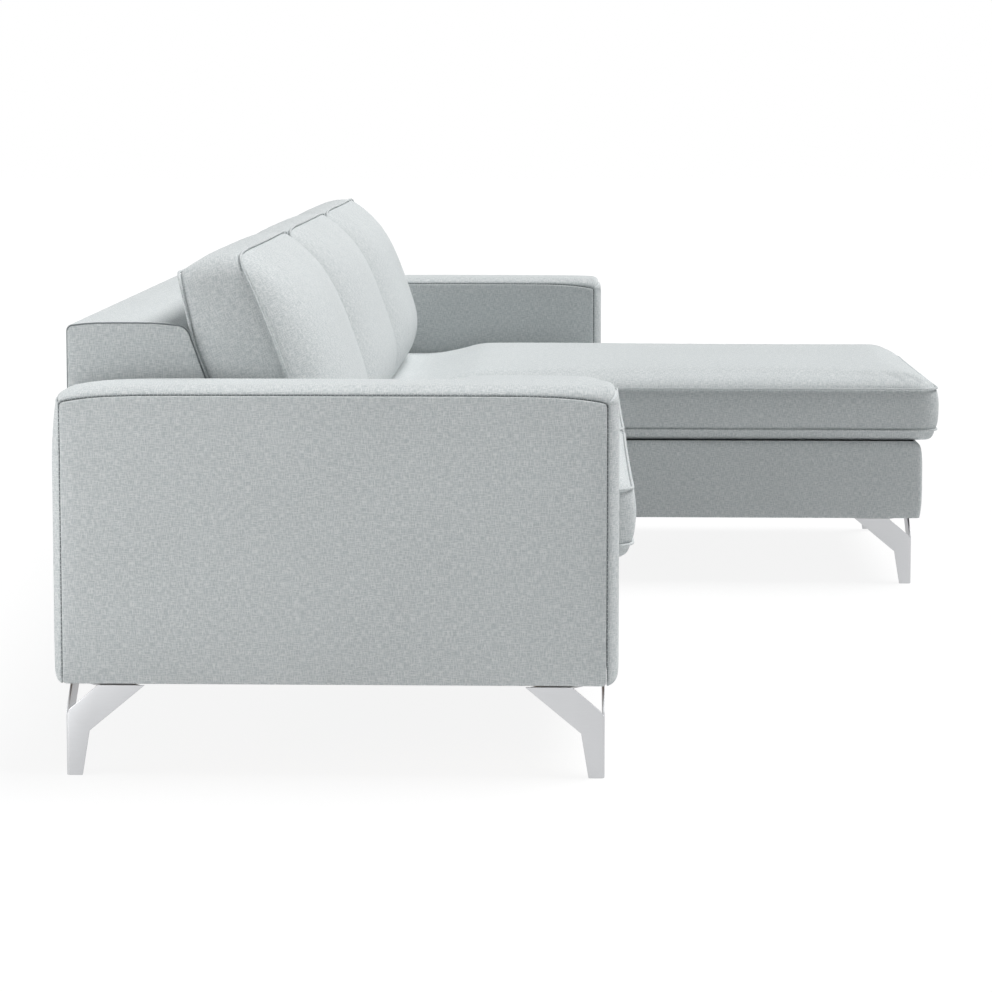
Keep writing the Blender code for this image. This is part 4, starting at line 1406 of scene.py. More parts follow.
@dataclass
class BackUpholstery:
    """The fixed back of one module: a continuous padded cover and its end panel."""

    name: str
    left: float
    right: float
    end_side: float
    replaced: tuple[str, ...]
    end_node: str
    top: float = 0.717
    rear: float = 0.831
    bottom: float = 0.1485
    deck: float = 0.3223
    lean: float = BACK_LEAN
    rear_round: float = 0.01
    front_round: float = 0.024
    seam_out: float = 0.0012
    seam_radius: float = 0.0011
    edge_y: float = 0.6305
    wall: float = 0.012
    end_thickness: float = 0.0062
    end_inset: float = 0.0024
    top_crown: float = 0.004
    front_puff: float = 0.003

    def front_face(self, z: float) -> float:
        """Gives Y of the sloping front at a height."""
        return self.edge_y + (z - self.top) * math.tan(self.lean)

    def section(self, inset: float = 0.0) -> list[tuple[float, float]]:
        """Draws the cover's outline from its rear bottom edge to the deck.

        Args:
            inset: How far the line lies inside the surface.

        Returns:
            Points of y and z.
        """
        line = [(self.rear - inset, self.bottom)]
        line += self.arc((self.rear - inset, self.top - inset), self.rear_round, 0.0, math.pi / 2)
        for part in np.linspace(0.1, 0.9, 7):
            y = self.rear - 0.014 + (self.edge_y + 0.02 - self.rear + 0.014) * part
            line.append((y, self.top - inset + self.top_crown * (1.0 - abs(2.0 * part - 1.0) ** 4)))
        line += self.arc_front(self.front_round, inset)
        for part in np.linspace(0.05, 1.0, 12):
            z = self.top - 0.03 + (self.deck - self.top + 0.03) * part
            puff = self.front_puff * min(1.0, part * 6.0) * (1.0 if inset == 0.0 else 0.0)
            line.append((self.front_face(z) + inset - puff, z))
        return line

    def arc(
        self, corner: tuple[float, float], radius: float, start: float, end: float
    ) -> list[tuple[float, float]]:
        """Rounds the rear top corner.

        Args:
            corner: The sharp corner.
            radius: The radius.
            start: The first angle.
            end: The last angle.

        Returns:
            Points of y and z.
        """
        middle = (corner[0] - radius, corner[1] - radius)
        return [
            (middle[0] + radius * math.cos(angle), middle[1] + radius * math.sin(angle))
            for angle in np.linspace(start, end, 6)
        ]

    def arc_front(self, radius: float, inset: float) -> list[tuple[float, float]]:
        """Rounds the front top corner into the slope.

        Args:
            radius: The radius.
            inset: How far the line lies inside the surface.

        Returns:
            Points of y and z.
        """
        turn = math.pi / 2 - self.lean
        reach = radius * math.tan(turn / 2)
        middle_y = self.edge_y + reach
        middle_z = self.top - radius
        return [
            (middle_y - (radius - inset) * math.sin(angle), middle_z + (radius - inset) * math.cos(angle))
            for angle in np.linspace(0.0, turn, 8)
        ]

    def build(self, material: bpy.types.Material, thread: bpy.types.Material) -> list[bpy.types.Object]:
        """Builds the cover, its end panel and the dark seam line between them, which paints the groove's
        shade.

        Args:
            material: The cloth.
            thread: The dark sewing thread, which also paints the seam groove's shade.

        Returns:
            The cover, the end panel and the seam.
        """
        line = self.section()
        dense = self.resample(np.array(line), 0.014)
        columns = max(8, int((self.right - self.left) / 0.03))
        grid = new_grid(f"{self.name}_cover", columns, len(dense) - 1)
        unit = points(grid)
        step = np.rint((unit[:, 1] + 1) / 2 * (len(dense) - 1)).astype(int)
        x = self.left + (self.right - self.left) * (crowd(unit[:, 0], 0.3) + 1) / 2
        move_points(grid, np.stack([x, dense[step, 0], dense[step, 1]], axis=1))
        upper = [face for face in grid.data.polygons if face.center.z > self.top - 0.004]
        if sum(face.normal.z * face.area for face in upper) < 0:
            grid.data.flip_normals()
        apply_modifier(grid, "SOLIDIFY", thickness=self.wall, offset=-1.0)
        soften(grid, 0.002, 3, 60.0)
        smooth_shading(grid)
        map_weave(grid)
        return [
            finish_piece(grid, material, BODY_FRAME, self.replaced),
            self.end_panel(material),
            self.end_return(material),
            self.end_seam(thread),
        ]

    def end_panel(self, material: bpy.types.Material) -> bpy.types.Object:
        """Builds the end panel that shows above the arm.

        Args:
            material: The cloth.

        Returns:
            The piece.
        """
        low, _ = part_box(self.end_node)
        line = self.resample(np.array(self.section(self.end_inset)), 0.009)
        upper = line[line[:, 1] >= low.z - 0.001]
        count = len(upper) - 1
        rows = 8
        grid = new_grid(f"{self.name}_end_panel", count, rows)
        unit = points(grid)
        step = np.rint((unit[:, 0] + 1) / 2 * count).astype(int)
        ring = (unit[:, 1] + 1) / 2
        start_y = np.interp(step, [0, count], [upper[0, 0], upper[-1, 0]])
        start = np.stack([start_y, np.full(len(step), low.z)], axis=1)
        places = start + (upper[step] - start) * ring[:, None]
        inner_x = self.left if self.end_side < 0 else self.right
        pillow = np.clip(1 - np.abs(unit[:, 0]) ** 6, 0, 1) * np.clip(1 - ring**6, 0, 1)
        x = inner_x + self.end_side * (self.end_thickness - 0.002 + 0.002 * pillow)
        move_points(grid, np.stack([x, places[:, 0], places[:, 1]], axis=1))
        total = sum(face.normal.x * face.area for face in grid.data.polygons)
        if total * self.end_side < 0:
            grid.data.flip_normals()
        apply_modifier(grid, "SOLIDIFY", thickness=self.end_thickness - 0.002, offset=-1.0)
        face_outwards(grid)
        soften(grid, 0.0038, 5, 60.0)
        smooth_shading(grid)
        map_weave(grid)
        return finish_piece(grid, material, BODY_FRAME, [self.end_node])

    def end_return(self, material: bpy.types.Material) -> bpy.types.Object:
        """Closes the cover's end behind the arm, below the end panel.

        Args:
            material: The cloth.

        Returns:
            The piece.
        """
        low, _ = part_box(self.end_node)
        inner_x = self.left if self.end_side < 0 else self.right
        sides = sorted((inner_x - self.end_side * 0.002, inner_x + self.end_side * 0.0052))
        strip = new_box(
            f"{self.name}_end_return",
            (sides[0], self.rear - 0.06, self.bottom + 0.001),
            (sides[1], self.rear - 0.0015, low.z - 0.0005),
        )
        soften(strip, 0.002, 3)
        smooth_shading(strip)
        map_weave(strip)
        return finish_piece(strip, material, BODY_FRAME)

    def end_seam(self, thread: bpy.types.Material) -> bpy.types.Object:
        """Lays a dark thread line round the end panel: painted shade for the seam groove there.

        Args:
            thread: The dark sewing thread, which also paints the seam groove's shade.

        Returns:
            The piece.
        """
        low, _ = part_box(self.end_node)
        line = self.resample(np.array(self.section(self.end_inset - self.seam_out)), 0.009)
        upper = line[line[:, 1] >= low.z + 0.002]
        x = (self.left if self.end_side < 0 else self.right) + self.end_side * 0.001
        path = np.stack([np.full(len(upper), x), upper[:, 0], upper[:, 1]], axis=1)
        # A continuous dark thread tube: painted shade for the groove between the end panel and the cover.
        seam = new_tube(f"{self.name}_end_seam", path, self.seam_radius, False)
        return finish_piece(seam, thread, BODY_FRAME)

    @staticmethod
    def resample(line: np.ndarray, spacing: float) -> np.ndarray:
        """Adds points along a line where they lie far apart.

        Args:
            line: The points.
            spacing: The largest distance.

        Returns:
            The denser line.
        """
        rows = [line[0]]
        for here, there in zip(line[:-1], line[1:]):
            count = max(1, int(math.ceil(np.linalg.norm(there - here) / spacing)))
            rows += [here + (there - here) * part / count for part in range(1, count + 1)]
        return np.array(rows)


@dataclass
class BaseUpholstery:
    """The cloth skins of both bases."""

    wall: float = 0.0142
    corner: float = 0.014
    bulge: float = 0.003
    side_share: float = 0.4
    top_draw: float = 0.016
    bottom_draw: float = 0.005
    draw_reach: float = 0.05

    def chaise(self, material: bpy.types.Material) -> bpy.types.Object:
        """Builds the skin round three sides of the chaise base.

        Args:
            material: The cloth.

        Returns:
            The piece.
        """
        left_low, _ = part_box("chaise_left_border")
        front_low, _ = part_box("chaise_front_border")
        _, right_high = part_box("chaise_right_border")
        low = (left_low.x, front_low.y, front_low.z)
        skin = new_box("chaise_base_skin", low, (right_high.x, right_high.y, right_high.z))
        with edit_mode(skin):
            select_edges(
                skin,
                lambda a, b: abs(a.x - b.x) < 1e-6 and abs(a.y - b.y) < 1e-6 and a.y < low[1] + 1e-4,
            )
            bpy.ops.mesh.bevel(offset=self.corner, segments=6)
            select_faces(skin, lambda middle, normal: abs(normal.z) > 0.9 or normal.y > 0.9)
            bpy.ops.mesh.delete(type="FACE")
            select_edges(skin, lambda a, b: abs(a.z - b.z) > 1e-4)
            bpy.ops.mesh.subdivide(number_cuts=17)
            select_edges(skin, lambda a, b: abs(a.z - b.z) < 1e-6 and (a - b).length > 0.2)
            bpy.ops.mesh.subdivide(number_cuts=40)
        self.puff(skin, (low[0], right_high.x), low[1])
        apply_modifier(skin, "SOLIDIFY", thickness=self.wall, offset=-1.0)
        soften(skin, 0.004, 3, 60.0)
        smooth_shading(skin)
        map_weave(skin)
        nodes = ["chaise_front_border", "chaise_left_border", "chaise_right_border"]
        return finish_piece(skin, material, BODY_FRAME, nodes)

    def puff(self, skin: bpy.types.Object, sides: tuple[float, float], front: float) -> None:
        """Draws the skin's edges in, so that it swells between them.

        Args:
            skin: The skin.
            sides: X of its left and right side.
            front: Y of its front.
        """
        places = points(skin)
        low, high = places[:, 2].min(), places[:, 2].max()
        part = (places[:, 2] - low) / (high - low) * 2 - 1
        upper = self.top_draw * (0.45 * np.abs(part) ** 4 + 0.55 * np.abs(part) ** 16)
        draw = np.where(part > 0, upper, self.bottom_draw * np.abs(part) ** 4)
        gaps = (places[:, 0] - sides[0], sides[1] - places[:, 0], places[:, 1] - front)
        near = [1.0 - smoothstep(gap / self.draw_reach) for gap in gaps]
        places[:, 0] += self.side_share * draw * (near[0] - near[1])
        places[:, 1] += draw * near[2]
        move_points(skin, places)

    def sofa(self, material: bpy.types.Material) -> bpy.types.Object:
        """Builds the front skin under the two seats.

        Args:
            material: The cloth.

        Returns:
            The piece.
        """
        low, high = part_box("sofa_front_border")
        skin = new_box("sofa_base_skin", low, high)
        cut_lattice(skin, (54, 0, 8))
        places = points(skin)
        part = (places[:, 2] - low.z) / (high.z - low.z) * 2 - 1
        front = places[:, 1] < (low.y + high.y) / 2
        places[:, 1] += np.where(front, self.bulge * np.abs(part) ** 3, 0.0)
        move_points(skin, places)
        soften(skin, 0.004, 3, 60.0)
        smooth_shading(skin)
        map_weave(skin)
        return finish_piece(skin, material, BODY_FRAME, ["sofa_front_border"])


@dataclass
class SeatPlatform:
    """What carries the seat cushions: deck pads, webbing and dust covers."""

    strap: float = 0.07
    gap: float = 0.06
    sag: float = 0.0005

    def deck(self, name: str, node: str, material: bpy.types.Material) -> bpy.types.Object:
        """Builds one deck pad with soft edges and rows of quilting.

        Args:
            name: The pad's name.
            node: The CAD node that it stands for.
            material: The cloth.

        Returns:
            The piece.
        """
        low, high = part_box(node)
        pad = new_box(name, low, high)
        cut_lattice(pad, (int((high.x - low.x) / 0.02), int((high.y - low.y) / 0.02), 1))
        soften(pad, 0.005, 3, 60.0)
        places = points(pad)
        top = places[:, 2] > high.z - 0.004
        rows = np.abs(np.sin((places[:, 0] - low.x) * math.pi / 0.11)) ** 0.6
        lines = np.abs(np.sin((places[:, 1] - low.y) * math.pi / 0.11)) ** 0.6
        places[:, 2] -= np.where(top, 0.0025 * (1.0 - np.minimum(rows, lines)), 0.0)
        move_points(pad, places)
        smooth_shading(pad)
        map_weave(pad)
        return finish_piece(pad, material, BODY_FRAME, [node])

    def webbing(self, name: str, node: str, material: bpy.types.Material) -> bpy.types.Object:
        """Builds one module's interlaced straps.

        Args:
            name: The piece's name.
            node: The CAD node that it stands for.
            material: The cloth.

        Returns:
            The piece.
        """
        low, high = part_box(node)
        straps = []
        thick = (high.z - low.z) * 0.45
        middle = (low.z + high.z) / 2
        for axis in (Along.X, Along.Y):
            run, cross = (0, 1) if axis is Along.X else (1, 0)
            width = high[cross] - low[cross]
            count = max(2, int((width + self.gap) / (self.strap + self.gap)))
            pitch = (width - self.strap) / (count - 1)
            for number in range(count):
                strap = new_box(f"{name}_strap", (-1, -1, -1), (1, 1, 1))
                cuts = [0, 0, 0]
                cuts[run] = int((high[run] - low[run]) / 0.02)
                cut_lattice(strap, cuts)
                unit = points(strap)
                places = np.empty_like(unit)
                places[:, run] = low[run] + (high[run] - low[run]) * (unit[:, run] + 1) / 2
                places[:, cross] = low[cross] + pitch * number + self.strap * (unit[:, cross] + 1) / 2
                phase = math.pi * (number + (1 if axis is Along.X else 0))
                wave = np.sin((places[:, run] - low[run]) / (self.strap + self.gap) * math.pi + phase)
                places[:, 2] = middle + unit[:, 2] * thick / 2 + wave * self.sag * 0.6
                move_points(strap, places)
                straps.append(strap)
        lattice = join(straps, name)
        smooth_shading(lattice, 40.0)
        map_weave(lattice)
        return finish_piece(lattice, material, BODY_FRAME, [node])

    def dust_cover(self, name: str, node: str, material: bpy.types.Material) -> bpy.types.Object:
        """Builds one module's dust cover, stretched under the rails.

        Args:
            name: The piece's name.
            node: The CAD node that it stands for.
            material: The cloth.

        Returns:
            The piece.
        """
        low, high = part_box(node)
        size = (high.x - low.x - 0.004, high.y - low.y - 0.004)
        grid = new_grid(name, int(size[0] / 0.02), int(size[1] / 0.02))
        unit = points(grid)
        x = (low.x + high.x) / 2 + unit[:, 0] * size[0] / 2
        y = (low.y + high.y) / 2 + unit[:, 1] * size[1] / 2
        ripple = np.sin(x * 31.0) * np.sin(y * 23.0) * (1 - unit[:, 0] ** 8) * (1 - unit[:, 1] ** 8)
        z = high.z - 0.0001 - 0.0002 * (ripple + 1)
        move_points(grid, np.stack([x, y, z], axis=1))
        apply_modifier(grid, "SOLIDIFY", thickness=0.0004, offset=-1.0)
        smooth_shading(grid, 40.0)
        map_weave(grid)
        piece = finish_piece(grid, material, BODY_FRAME, [node])
        return piece


# Legs

SUPPORT_RADIUS = 0.0258
SUPPORT_PROFILE = (
    (0.0, 0.0165),
    (0.0041, 0.019),
    (0.012, 0.0193),
    (0.134, 0.0248),
    (0.138, SUPPORT_RADIUS),
    (0.148, SUPPORT_RADIUS),
)


@dataclass
class CornerLeg:
    """A bent sheet-steel leg with two equal leaves and its fixing plate."""

    height: float = 0.1478
    reach: float = 0.128
    foot: float = 0.026
    knee: tuple[float, float] = (0.038, 0.073)
    top_start: float = 0.052
    shoulder: float = 0.101
    sheet: float = 0.004
    bend: float = 0.006
    bend_step: float = 0.0015

    def leaf_outline(self) -> list[tuple[float, float]]:
        """Draws one leaf, from the bend outwards.

        Returns:
            Points of distance and height.
        """
        arc = self.bend * math.pi / 2
        grown = (self.reach - self.bend) / (self.reach - arc)
        outer = [(self.foot, 0.0), self.knee, (self.reach, self.height), (self.top_start, self.height)]
        flat = [(arc + (distance - self.bend) / grown, height) for distance, height in outer]
        return [(0.0, 0.0), *flat, (0.0, self.shoulder)]

    def build(self, name: str) -> bpy.types.Object:
        """Builds the leg with its corner at the origin and leaves along +X and +Y.

        Args:
            name: The object's name.

        Returns:
            The mesh object.
        """
        outline = self.leaf_outline()
        deselect()
        bpy.ops.mesh.primitive_circle_add(vertices=len(outline), radius=1.0, fill_type="NGON")
        leg = bpy.context.object
        leg.name = name
        move_points(leg, np.array([(distance, 0.0, height) for distance, height in outline]))
        with edit_mode(leg):
            for number in range(1, 7):
                bpy.ops.mesh.select_all(action="SELECT")
                bpy.ops.mesh.bisect(plane_co=(number * self.bend_step, 0, 0), plane_no=(1, 0, 0))
        twin = copy_of(leg, f"{name}_twin", Matrix.Diagonal((-1.0, 1.0, 1.0, 1.0)))
        leg = join([leg, twin], name)
        face_outwards(leg)
        places = points(leg)
        arc = self.bend * math.pi / 2
        along = places[:, 0]
        angle = (np.clip(along / arc, -1.0, 1.0) - 3.0) * math.pi / 4
        grown = (self.reach - self.bend) / (self.reach - arc)
        straight = self.bend + np.clip(np.abs(along) - arc, 0.0, None) * grown
        x = np.select([along > arc, along < -arc], [straight, 0.0], self.bend + self.bend * np.cos(angle))
        y = np.select([along > arc, along < -arc], [0.0, straight], self.bend + self.bend * np.sin(angle))
        move_points(leg, np.stack([x, y, places[:, 2]], axis=1))
        total = sum((face.normal.x + face.normal.y) * face.area for face in leg.data.polygons)
        if total > 0:
            leg.data.flip_normals()
        apply_modifier(leg, "SOLIDIFY", thickness=self.sheet, offset=-1.0)
        soften(leg, 0.0011, 3, 50.0)
        leg = join([leg, self.plate(), *self.screws()], name)
        smooth_shading(leg, 35.0)
        return leg

    def plate(self) -> bpy.types.Object:
        """Builds the fixing plate that is welded between the leaves.

        Returns:
            The mesh object.
        """
        near, start, stop = 0.0035, self.top_start + 0.006, self.reach - 0.006
        plate = new_box("plate", (-1, -1, self.height - 0.0035), (1, 1, self.height - 0.0002))
        places = points(plate)
        for row in places:
            far = start if row[0] < 0 else stop
            row[:2] = (far, near) if row[1] < 0 else (near, far)
        move_points(plate, places)
        face_outwards(plate)
        soften(plate, 0.0005, 2, 50.0)
        return plate

    def screws(self) -> list[bpy.types.Object]:
        """Builds the three screw heads under the plate.

        Returns:
            The mesh objects.
        """
        heads = []
        for place in ((0.025, 0.078), (0.052, 0.052), (0.078, 0.025)):
            deselect()
            bpy.ops.mesh.primitive_uv_sphere_add(segments=16, ring_count=8, radius=0.0045)
            head = bpy.context.object
            head.name = "screw"
            flat = points(head) * np.array([1.0, 1.0, 0.45]) + np.array([*place, self.height - 0.0037])
            move_points(head, flat)
            heads.append(head)
        return heads


@dataclass
class Legs:
    """Every leg under the sofa."""

    corner: CornerLeg

    def build(self, finishes: Finishes) -> list[bpy.types.Object]:
        """Builds all legs.

        Args:
            finishes: The materials.

        Returns:
            The pieces.
        """
        pattern = self.corner.build("leg_pattern")
        pieces = []
        turns = {
            "left_arm_front_leg": (1, 1),
            "left_arm_rear_leg": (1, -1),
            "chaise_front_left_leg": (1, 1),
            "chaise_front_right_leg": (-1, 1),
            "right_arm_rear_leg": (-1, -1),
        }
        for node, (sign_x, sign_y) in turns.items():
            low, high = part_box(node)
            corner = (low.x if sign_x > 0 else high.x, low.y if sign_y > 0 else high.y)
            matrix = Matrix.Translation((*corner, 0.0)) @ Matrix.Diagonal((sign_x, sign_y, 1.0, 1.0))
            leg = copy_of(pattern, f"{node}_plate", matrix)
            pieces.append(finish_piece(leg, finishes.steel, BODY_FRAME, [node]))
        bpy.data.objects.remove(pattern)
        for node in ("sofa_front_support_leg", "sofa_rear_support_leg", "chaise_rear_support_leg"):
            pieces.append(self.support(node, finishes))
        return pieces

    def support(self, node: str, finishes: Finishes) -> bpy.types.Object:
        """Builds one plain support leg with a collar and a glide.

        Args:
            node: The CAD node that it stands for.
            finishes: The materials.

        Returns:
            The piece.
        """
        low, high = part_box(node)
        middle = (low + high) / 2
        deselect()
        size = {"vertices": 40, "radius": SUPPORT_RADIUS, "depth": high.z - low.z}
        bpy.ops.mesh.primitive_cylinder_add(location=middle, **size)
        leg = bpy.context.object
        leg.name = f"{node}_post"
        bpy.ops.object.transform_apply(location=True, rotation=True, scale=True)
        with edit_mode(leg):
            for height in (0.004, 0.012, 0.02, 0.07, 0.12, 0.134, 0.138):
                bpy.ops.mesh.select_all(action="SELECT")
                bpy.ops.mesh.bisect(plane_co=(0, 0, height), plane_no=(0, 0, 1))
        places = points(leg)
        heights, radii = zip(*SUPPORT_PROFILE)
        radius = np.interp(places[:, 2], heights, radii) / SUPPORT_RADIUS
        for axis in (0, 1):
            places[:, axis] = middle[axis] + (places[:, axis] - middle[axis]) * radius
        move_points(leg, places)
        soften(leg, 0.0008, 2, 30.0)
        smooth_shading(leg, 40.0)
        return finish_piece(leg, finishes.plastic, BODY_FRAME, [node])


# Studio


@dataclass(frozen=True)
class Studio:
    """Floor, light, backdrop and camera."""

    camera_place: tuple[float, float, float] = (-5.7776, -0.0011, 1.0953)
    pitch: float = 5.0
    yaw: float = 1.513
    lens: float = 100.638
    shift: tuple[float, float] = (0.0, -0.1598)
    ambient: float = 0.11
    ambient_tint: tuple[float, float, float] = (0.86, 0.96, 1.0)
    key_strength: float = 3.17
    key_from: tuple[float, float, float] = (0.2, -0.44, 1.0)
    key_softness: float = 38.0
    floor_size: float = 60.0
    floor_grey: float = 0.79
    floor_glow: float = 1.045
    floor_fade: tuple[float, float] = (1.9, 3.4)
    floor_near: float = 0.86

    def build(self) -> None:
        """Sets up the whole studio."""
        self.camera()
        self.world()
        self.floor()
        self.key_light()
        self.lamp("side_softbox", (-3.4, 2.4, 0.8), (-1.4, 0.3, 0.4), (1.6, 1.0), 12.5)
        self.lamp("rear_softbox", (-2.4, 4.2, 1.3), (-1.2, 0.8, 0.4), (2.0, 1.4), 46.0)
        scene = bpy.context.scene
        scene.view_settings.view_transform = "Standard"

    def camera(self) -> None:
        """Puts the camera at the photograph's place."""
        data = bpy.data.cameras.new("camera")
        data.lens = self.lens
        data.sensor_width = 36.0
        data.shift_x, data.shift_y = self.shift
        data.clip_start, data.clip_end = 0.1, 200.0
        camera = bpy.data.objects.new("camera", data)
        camera.location = self.camera_place
        camera.rotation_euler = (math.radians(90.0 - self.pitch), 0.0, math.radians(self.yaw - 90.0))
        bpy.context.scene.collection.objects.link(camera)
        bpy.context.scene.camera = camera

    def world(self) -> None:
        """Makes a white backdrop that lights the object at a plain level."""
        world = bpy.data.worlds.new("studio")
        bpy.context.scene.world = world
        world.use_nodes = True
        tree = world.node_tree
        path = tree.nodes.new("ShaderNodeLightPath")
        seen = Wire(tree, path.outputs["Is Camera Ray"]).largest(Wire(tree, path.outputs["Is Glossy Ray"]))
        seen = seen.largest(Wire(tree, path.outputs["Is Transmission Ray"]))
        background = tree.nodes["Background"]
        tint = tree.nodes.new("ShaderNodeMix")
        tint.data_type = "RGBA"
        plug(tree, tint.inputs[0], seen)
        plug(tree, tint.inputs[6], (*self.ambient_tint, 1.0))
        plug(tree, tint.inputs[7], (1.0, 1.0, 1.0, 1.0))
        tree.links.new(tint.outputs[2], background.inputs["Color"])
        plug(tree, background.inputs["Strength"], seen * (1.0 - self.ambient) + self.ambient)

    def floor(self) -> None:
        """Lays a plain pale floor that fades to the backdrop and keeps the shadow."""
        deselect()
        bpy.ops.mesh.primitive_plane_add(size=self.floor_size)
        floor = bpy.context.object
        floor.name = "floor"
        material = bpy.data.materials.new("pale_floor")
        material.use_nodes = True
        tree = material.node_tree
        tree.nodes.clear()
        output = tree.nodes.new("ShaderNodeOutputMaterial")
        diffuse = tree.nodes.new("ShaderNodeBsdfDiffuse")
        diffuse.inputs["Color"].default_value = (*[self.floor_grey] * 3, 1.0)
        white = tree.nodes.new("ShaderNodeEmission")
        white.inputs["Strength"].default_value = self.floor_glow
        mix = tree.nodes.new("ShaderNodeMixShader")
        path = tree.nodes.new("ShaderNodeLightPath")
        seen = Wire(tree, path.outputs["Is Camera Ray"]).largest(Wire(tree, path.outputs["Is Glossy Ray"]))
        seen = seen.largest(Wire(tree, path.outputs["Is Transmission Ray"]))
        place = tree.nodes.new("ShaderNodeTexCoord")
        distance = tree.nodes.new("ShaderNodeVectorMath")
        distance.operation = "LENGTH"
        tree.links.new(place.outputs["Object"], distance.inputs[0])
        far = Wire(tree, distance.outputs["Value"]).between(*self.floor_fade)
        plug(tree, mix.inputs[0], seen * (far * (1.0 - self.floor_near) + self.floor_near))
        tree.links.new(diffuse.outputs[0], mix.inputs[1])
        tree.links.new(white.outputs[0], mix.inputs[2])
        tree.links.new(mix.outputs[0], output.inputs[0])
        floor.data.materials.append(material)

    def key_light(self) -> None:
        """Hangs the broad light from above the front right."""
        data = bpy.data.lights.new("key_light", "SUN")
        data.energy = self.key_strength
        data.angle = math.radians(self.key_softness)
        lamp = bpy.data.objects.new("key_light", data)
        lamp.rotation_euler = (-Vector(self.key_from)).to_track_quat("-Z", "Y").to_euler()
        bpy.context.scene.collection.objects.link(lamp)

    def lamp(
        self,
        name: str,
        place: tuple[float, float, float],
        target: tuple[float, float, float],
        size: tuple[float, float],
        power: float,
    ) -> None:
        """Hangs one softbox.

        Args:
            name: Its name.
            place: Where it hangs.
            target: What it looks at.
            size: Its sides.
            power: Its power in watts.
        """
        data = bpy.data.lights.new(name, "AREA")
        data.shape = "RECTANGLE"
        data.size, data.size_y = size
        data.energy = power
        lamp = bpy.data.objects.new(name, data)
        lamp.location = place
        lamp.rotation_euler = (Vector(target) - Vector(place)).to_track_quat("-Z", "Y").to_euler()
        lamp.visible_camera = False
        bpy.context.scene.collection.objects.link(lamp)


# Main


def seat_cushion(name: str, front: float) -> BoxedCushion:
    """Sets the sizes of one seat cushion.

    Args:
        name: left, middle or chaise.
        front: Y of its front seam.

    Returns:
        The cushion.
    """
    node = f"{name}_seat_cushion"
    low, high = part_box(node)
    rear = high.y
    middle = ((low.x + high.x) / 2, (front + rear) / 2)
    raised = 0.0045 if front > -0.5 else 0.0
    return BoxedCushion(
        name=f"{name}_seat_cushion_cover",
        body=f"{name}_seat",
        node=node,
        half=((high.x - low.x) / 2 - 0.0015, (rear - front) / 2),
        seams=(0.3463 + raised, 0.4383 + raised),
        crown=0.038 - raised,
        edge_powers=(24.0, 18.0 if front > -0.5 else 40.0),
        dome_powers=(2.6, 2.6),
        dome_share=0.22,
        underside=0.0238,
        corner=0.045,
        bulge=(0.0015, 0.008),
        pull_in=0.002,
        seam_dip=0.002,
        seam_reach=0.008,
        press=(0.0055 - raised, 0.487 - 0.12 - 0.17 - middle[1], 0.487 - 0.12 - middle[1]),
        rest_matrix=Matrix.Translation((*middle, 0.0)),
    )


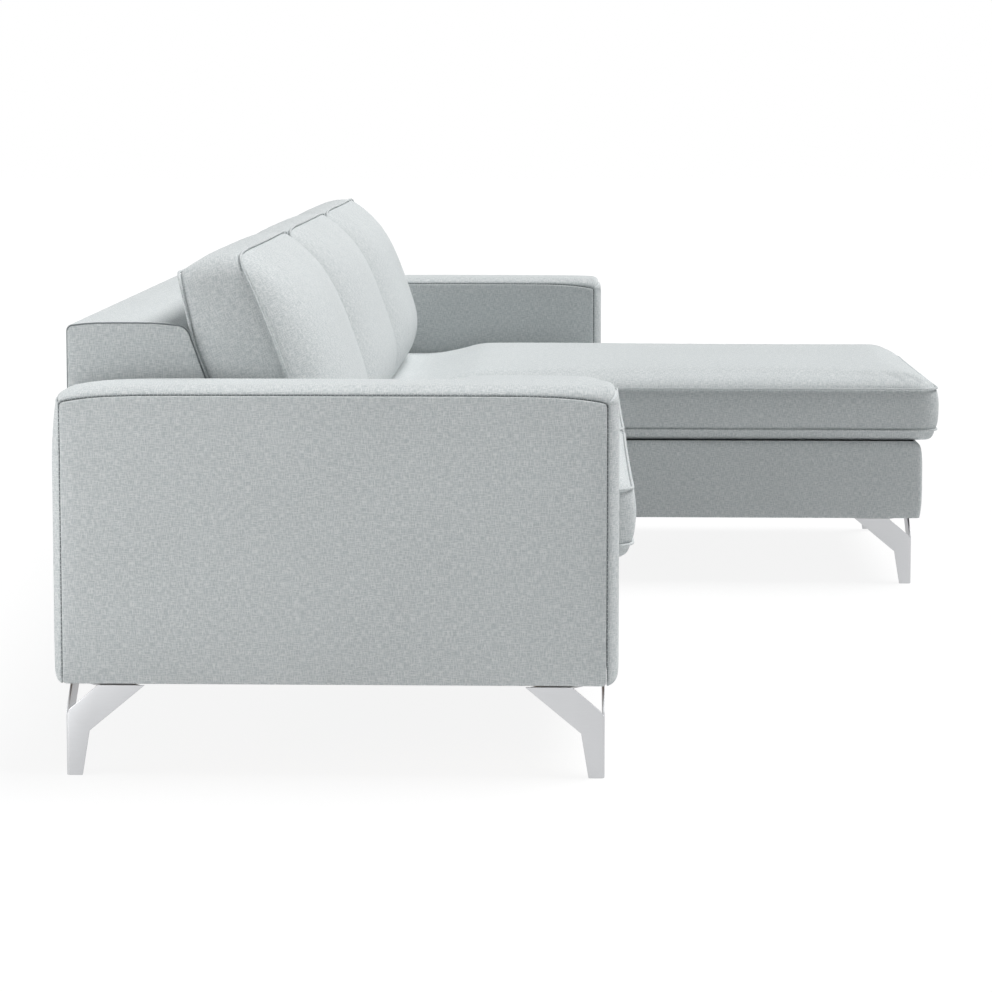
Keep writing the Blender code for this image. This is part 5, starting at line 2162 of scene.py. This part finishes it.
def back_cushion(name: str) -> BoxedCushion:
    """Sets the sizes of one back cushion.

    Args:
        name: left, middle or chaise.

    Returns:
        The cushion.
    """
    node = f"{name}_back_cushion"
    low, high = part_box(node)
    across = Vector((1.0, 0.0, 0.0))
    up = Vector((0.0, math.sin(BACK_LEAN), math.cos(BACK_LEAN)))
    front = Vector((0.0, -math.cos(BACK_LEAN), math.sin(BACK_LEAN)))
    turn = Matrix((across, up, front)).transposed().to_4x4()
    origin = Vector(((low.x + high.x) / 2, 0.534, 0.4456))
    length = 0.418
    middle = origin + up * (length / 2 - 0.045)
    return BoxedCushion(
        name=f"{name}_back_cushion_cover",
        body=f"{name}_back",
        node=node,
        half=((high.x - low.x) / 2 - 0.0065, length / 2),
        seams=(-0.0005, 0.1185),
        crown=0.0675,
        edge_powers=(10.0, 4.2),
        dome_powers=(2.6, 4.2),
        dome_share=0.5,
        centre=-0.237,
        underside=0.002,
        corner=0.04,
        bulge=(0.006, 0.0135),
        pull_in=0.003,
        end_bow=0.012,
        rest_matrix=Matrix.Translation(middle) @ turn,
        fill=0.85,
        seam_bow=0.0085,
        top_bow=0.005,
        lower_lift=0.013,
    )


def dress_frame(finishes: Finishes) -> None:
    """Gives every CAD node that still shows its material.

    Args:
        finishes: The materials.
    """
    for name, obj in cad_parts.items():
        if obj.hide_render:
            continue
        if "bolt" in name:
            material = finishes.zinc
        elif "rib" in name:
            material = finishes.timber_upright
        elif any(word in name for word in ("left_rail", "right_rail", "middle_rail", "arm_frame")):
            material = finishes.timber_across
        else:
            material = finishes.timber_along
        obj.data.materials.clear()
        obj.data.materials.append(material)


def main() -> None:
    """Builds the sofa and its studio."""
    logging.basicConfig(level=logging.INFO, format="%(message)s")
    finishes = Finishes.make()
    Studio().build()
    ArmUpholstery().build(finishes.cover, finishes.thread)
    join_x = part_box("sofa_back_top_pad")[1].x
    BackUpholstery(
        "sofa_back",
        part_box("sofa_back_top_pad")[0].x,
        join_x,
        -1.0,
        ("sofa_back_front_pad", "sofa_back_top_pad", "sofa_back_rear_panel"),
        "sofa_back_left_end",
    ).build(finishes.cover, finishes.thread)
    low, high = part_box("chaise_back_top_pad")
    BackUpholstery(
        "chaise_back",
        low.x,
        high.x,
        1.0,
        ("chaise_back_front_pad", "chaise_back_top_pad", "chaise_back_rear_panel"),
        "chaise_back_right_end",
    ).build(finishes.cover, finishes.thread)
    base = BaseUpholstery()
    base.chaise(finishes.cover)
    base.sofa(finishes.cover)
    platform = SeatPlatform()
    for module in ("sofa", "chaise"):
        platform.deck(f"{module}_deck_quilt", f"{module}_deck_pad", finishes.decking)
        platform.webbing(f"{module}_webbing_straps", f"{module}_webbing", finishes.webbing)
        platform.dust_cover(f"{module}_dust_cover_cloth", f"{module}_dust_cover", finishes.dust_cover)
    Legs(CornerLeg()).build(finishes)
    for name, front in (("left", -0.108), ("middle", -0.108), ("chaise", -0.829)):
        seat_cushion(name, front).build(finishes.cushion)
    for name in ("left", "middle", "chaise"):
        back_cushion(name).build(finishes.cushion)
    dress_frame(finishes)


if __name__ == "__main__":
    main()
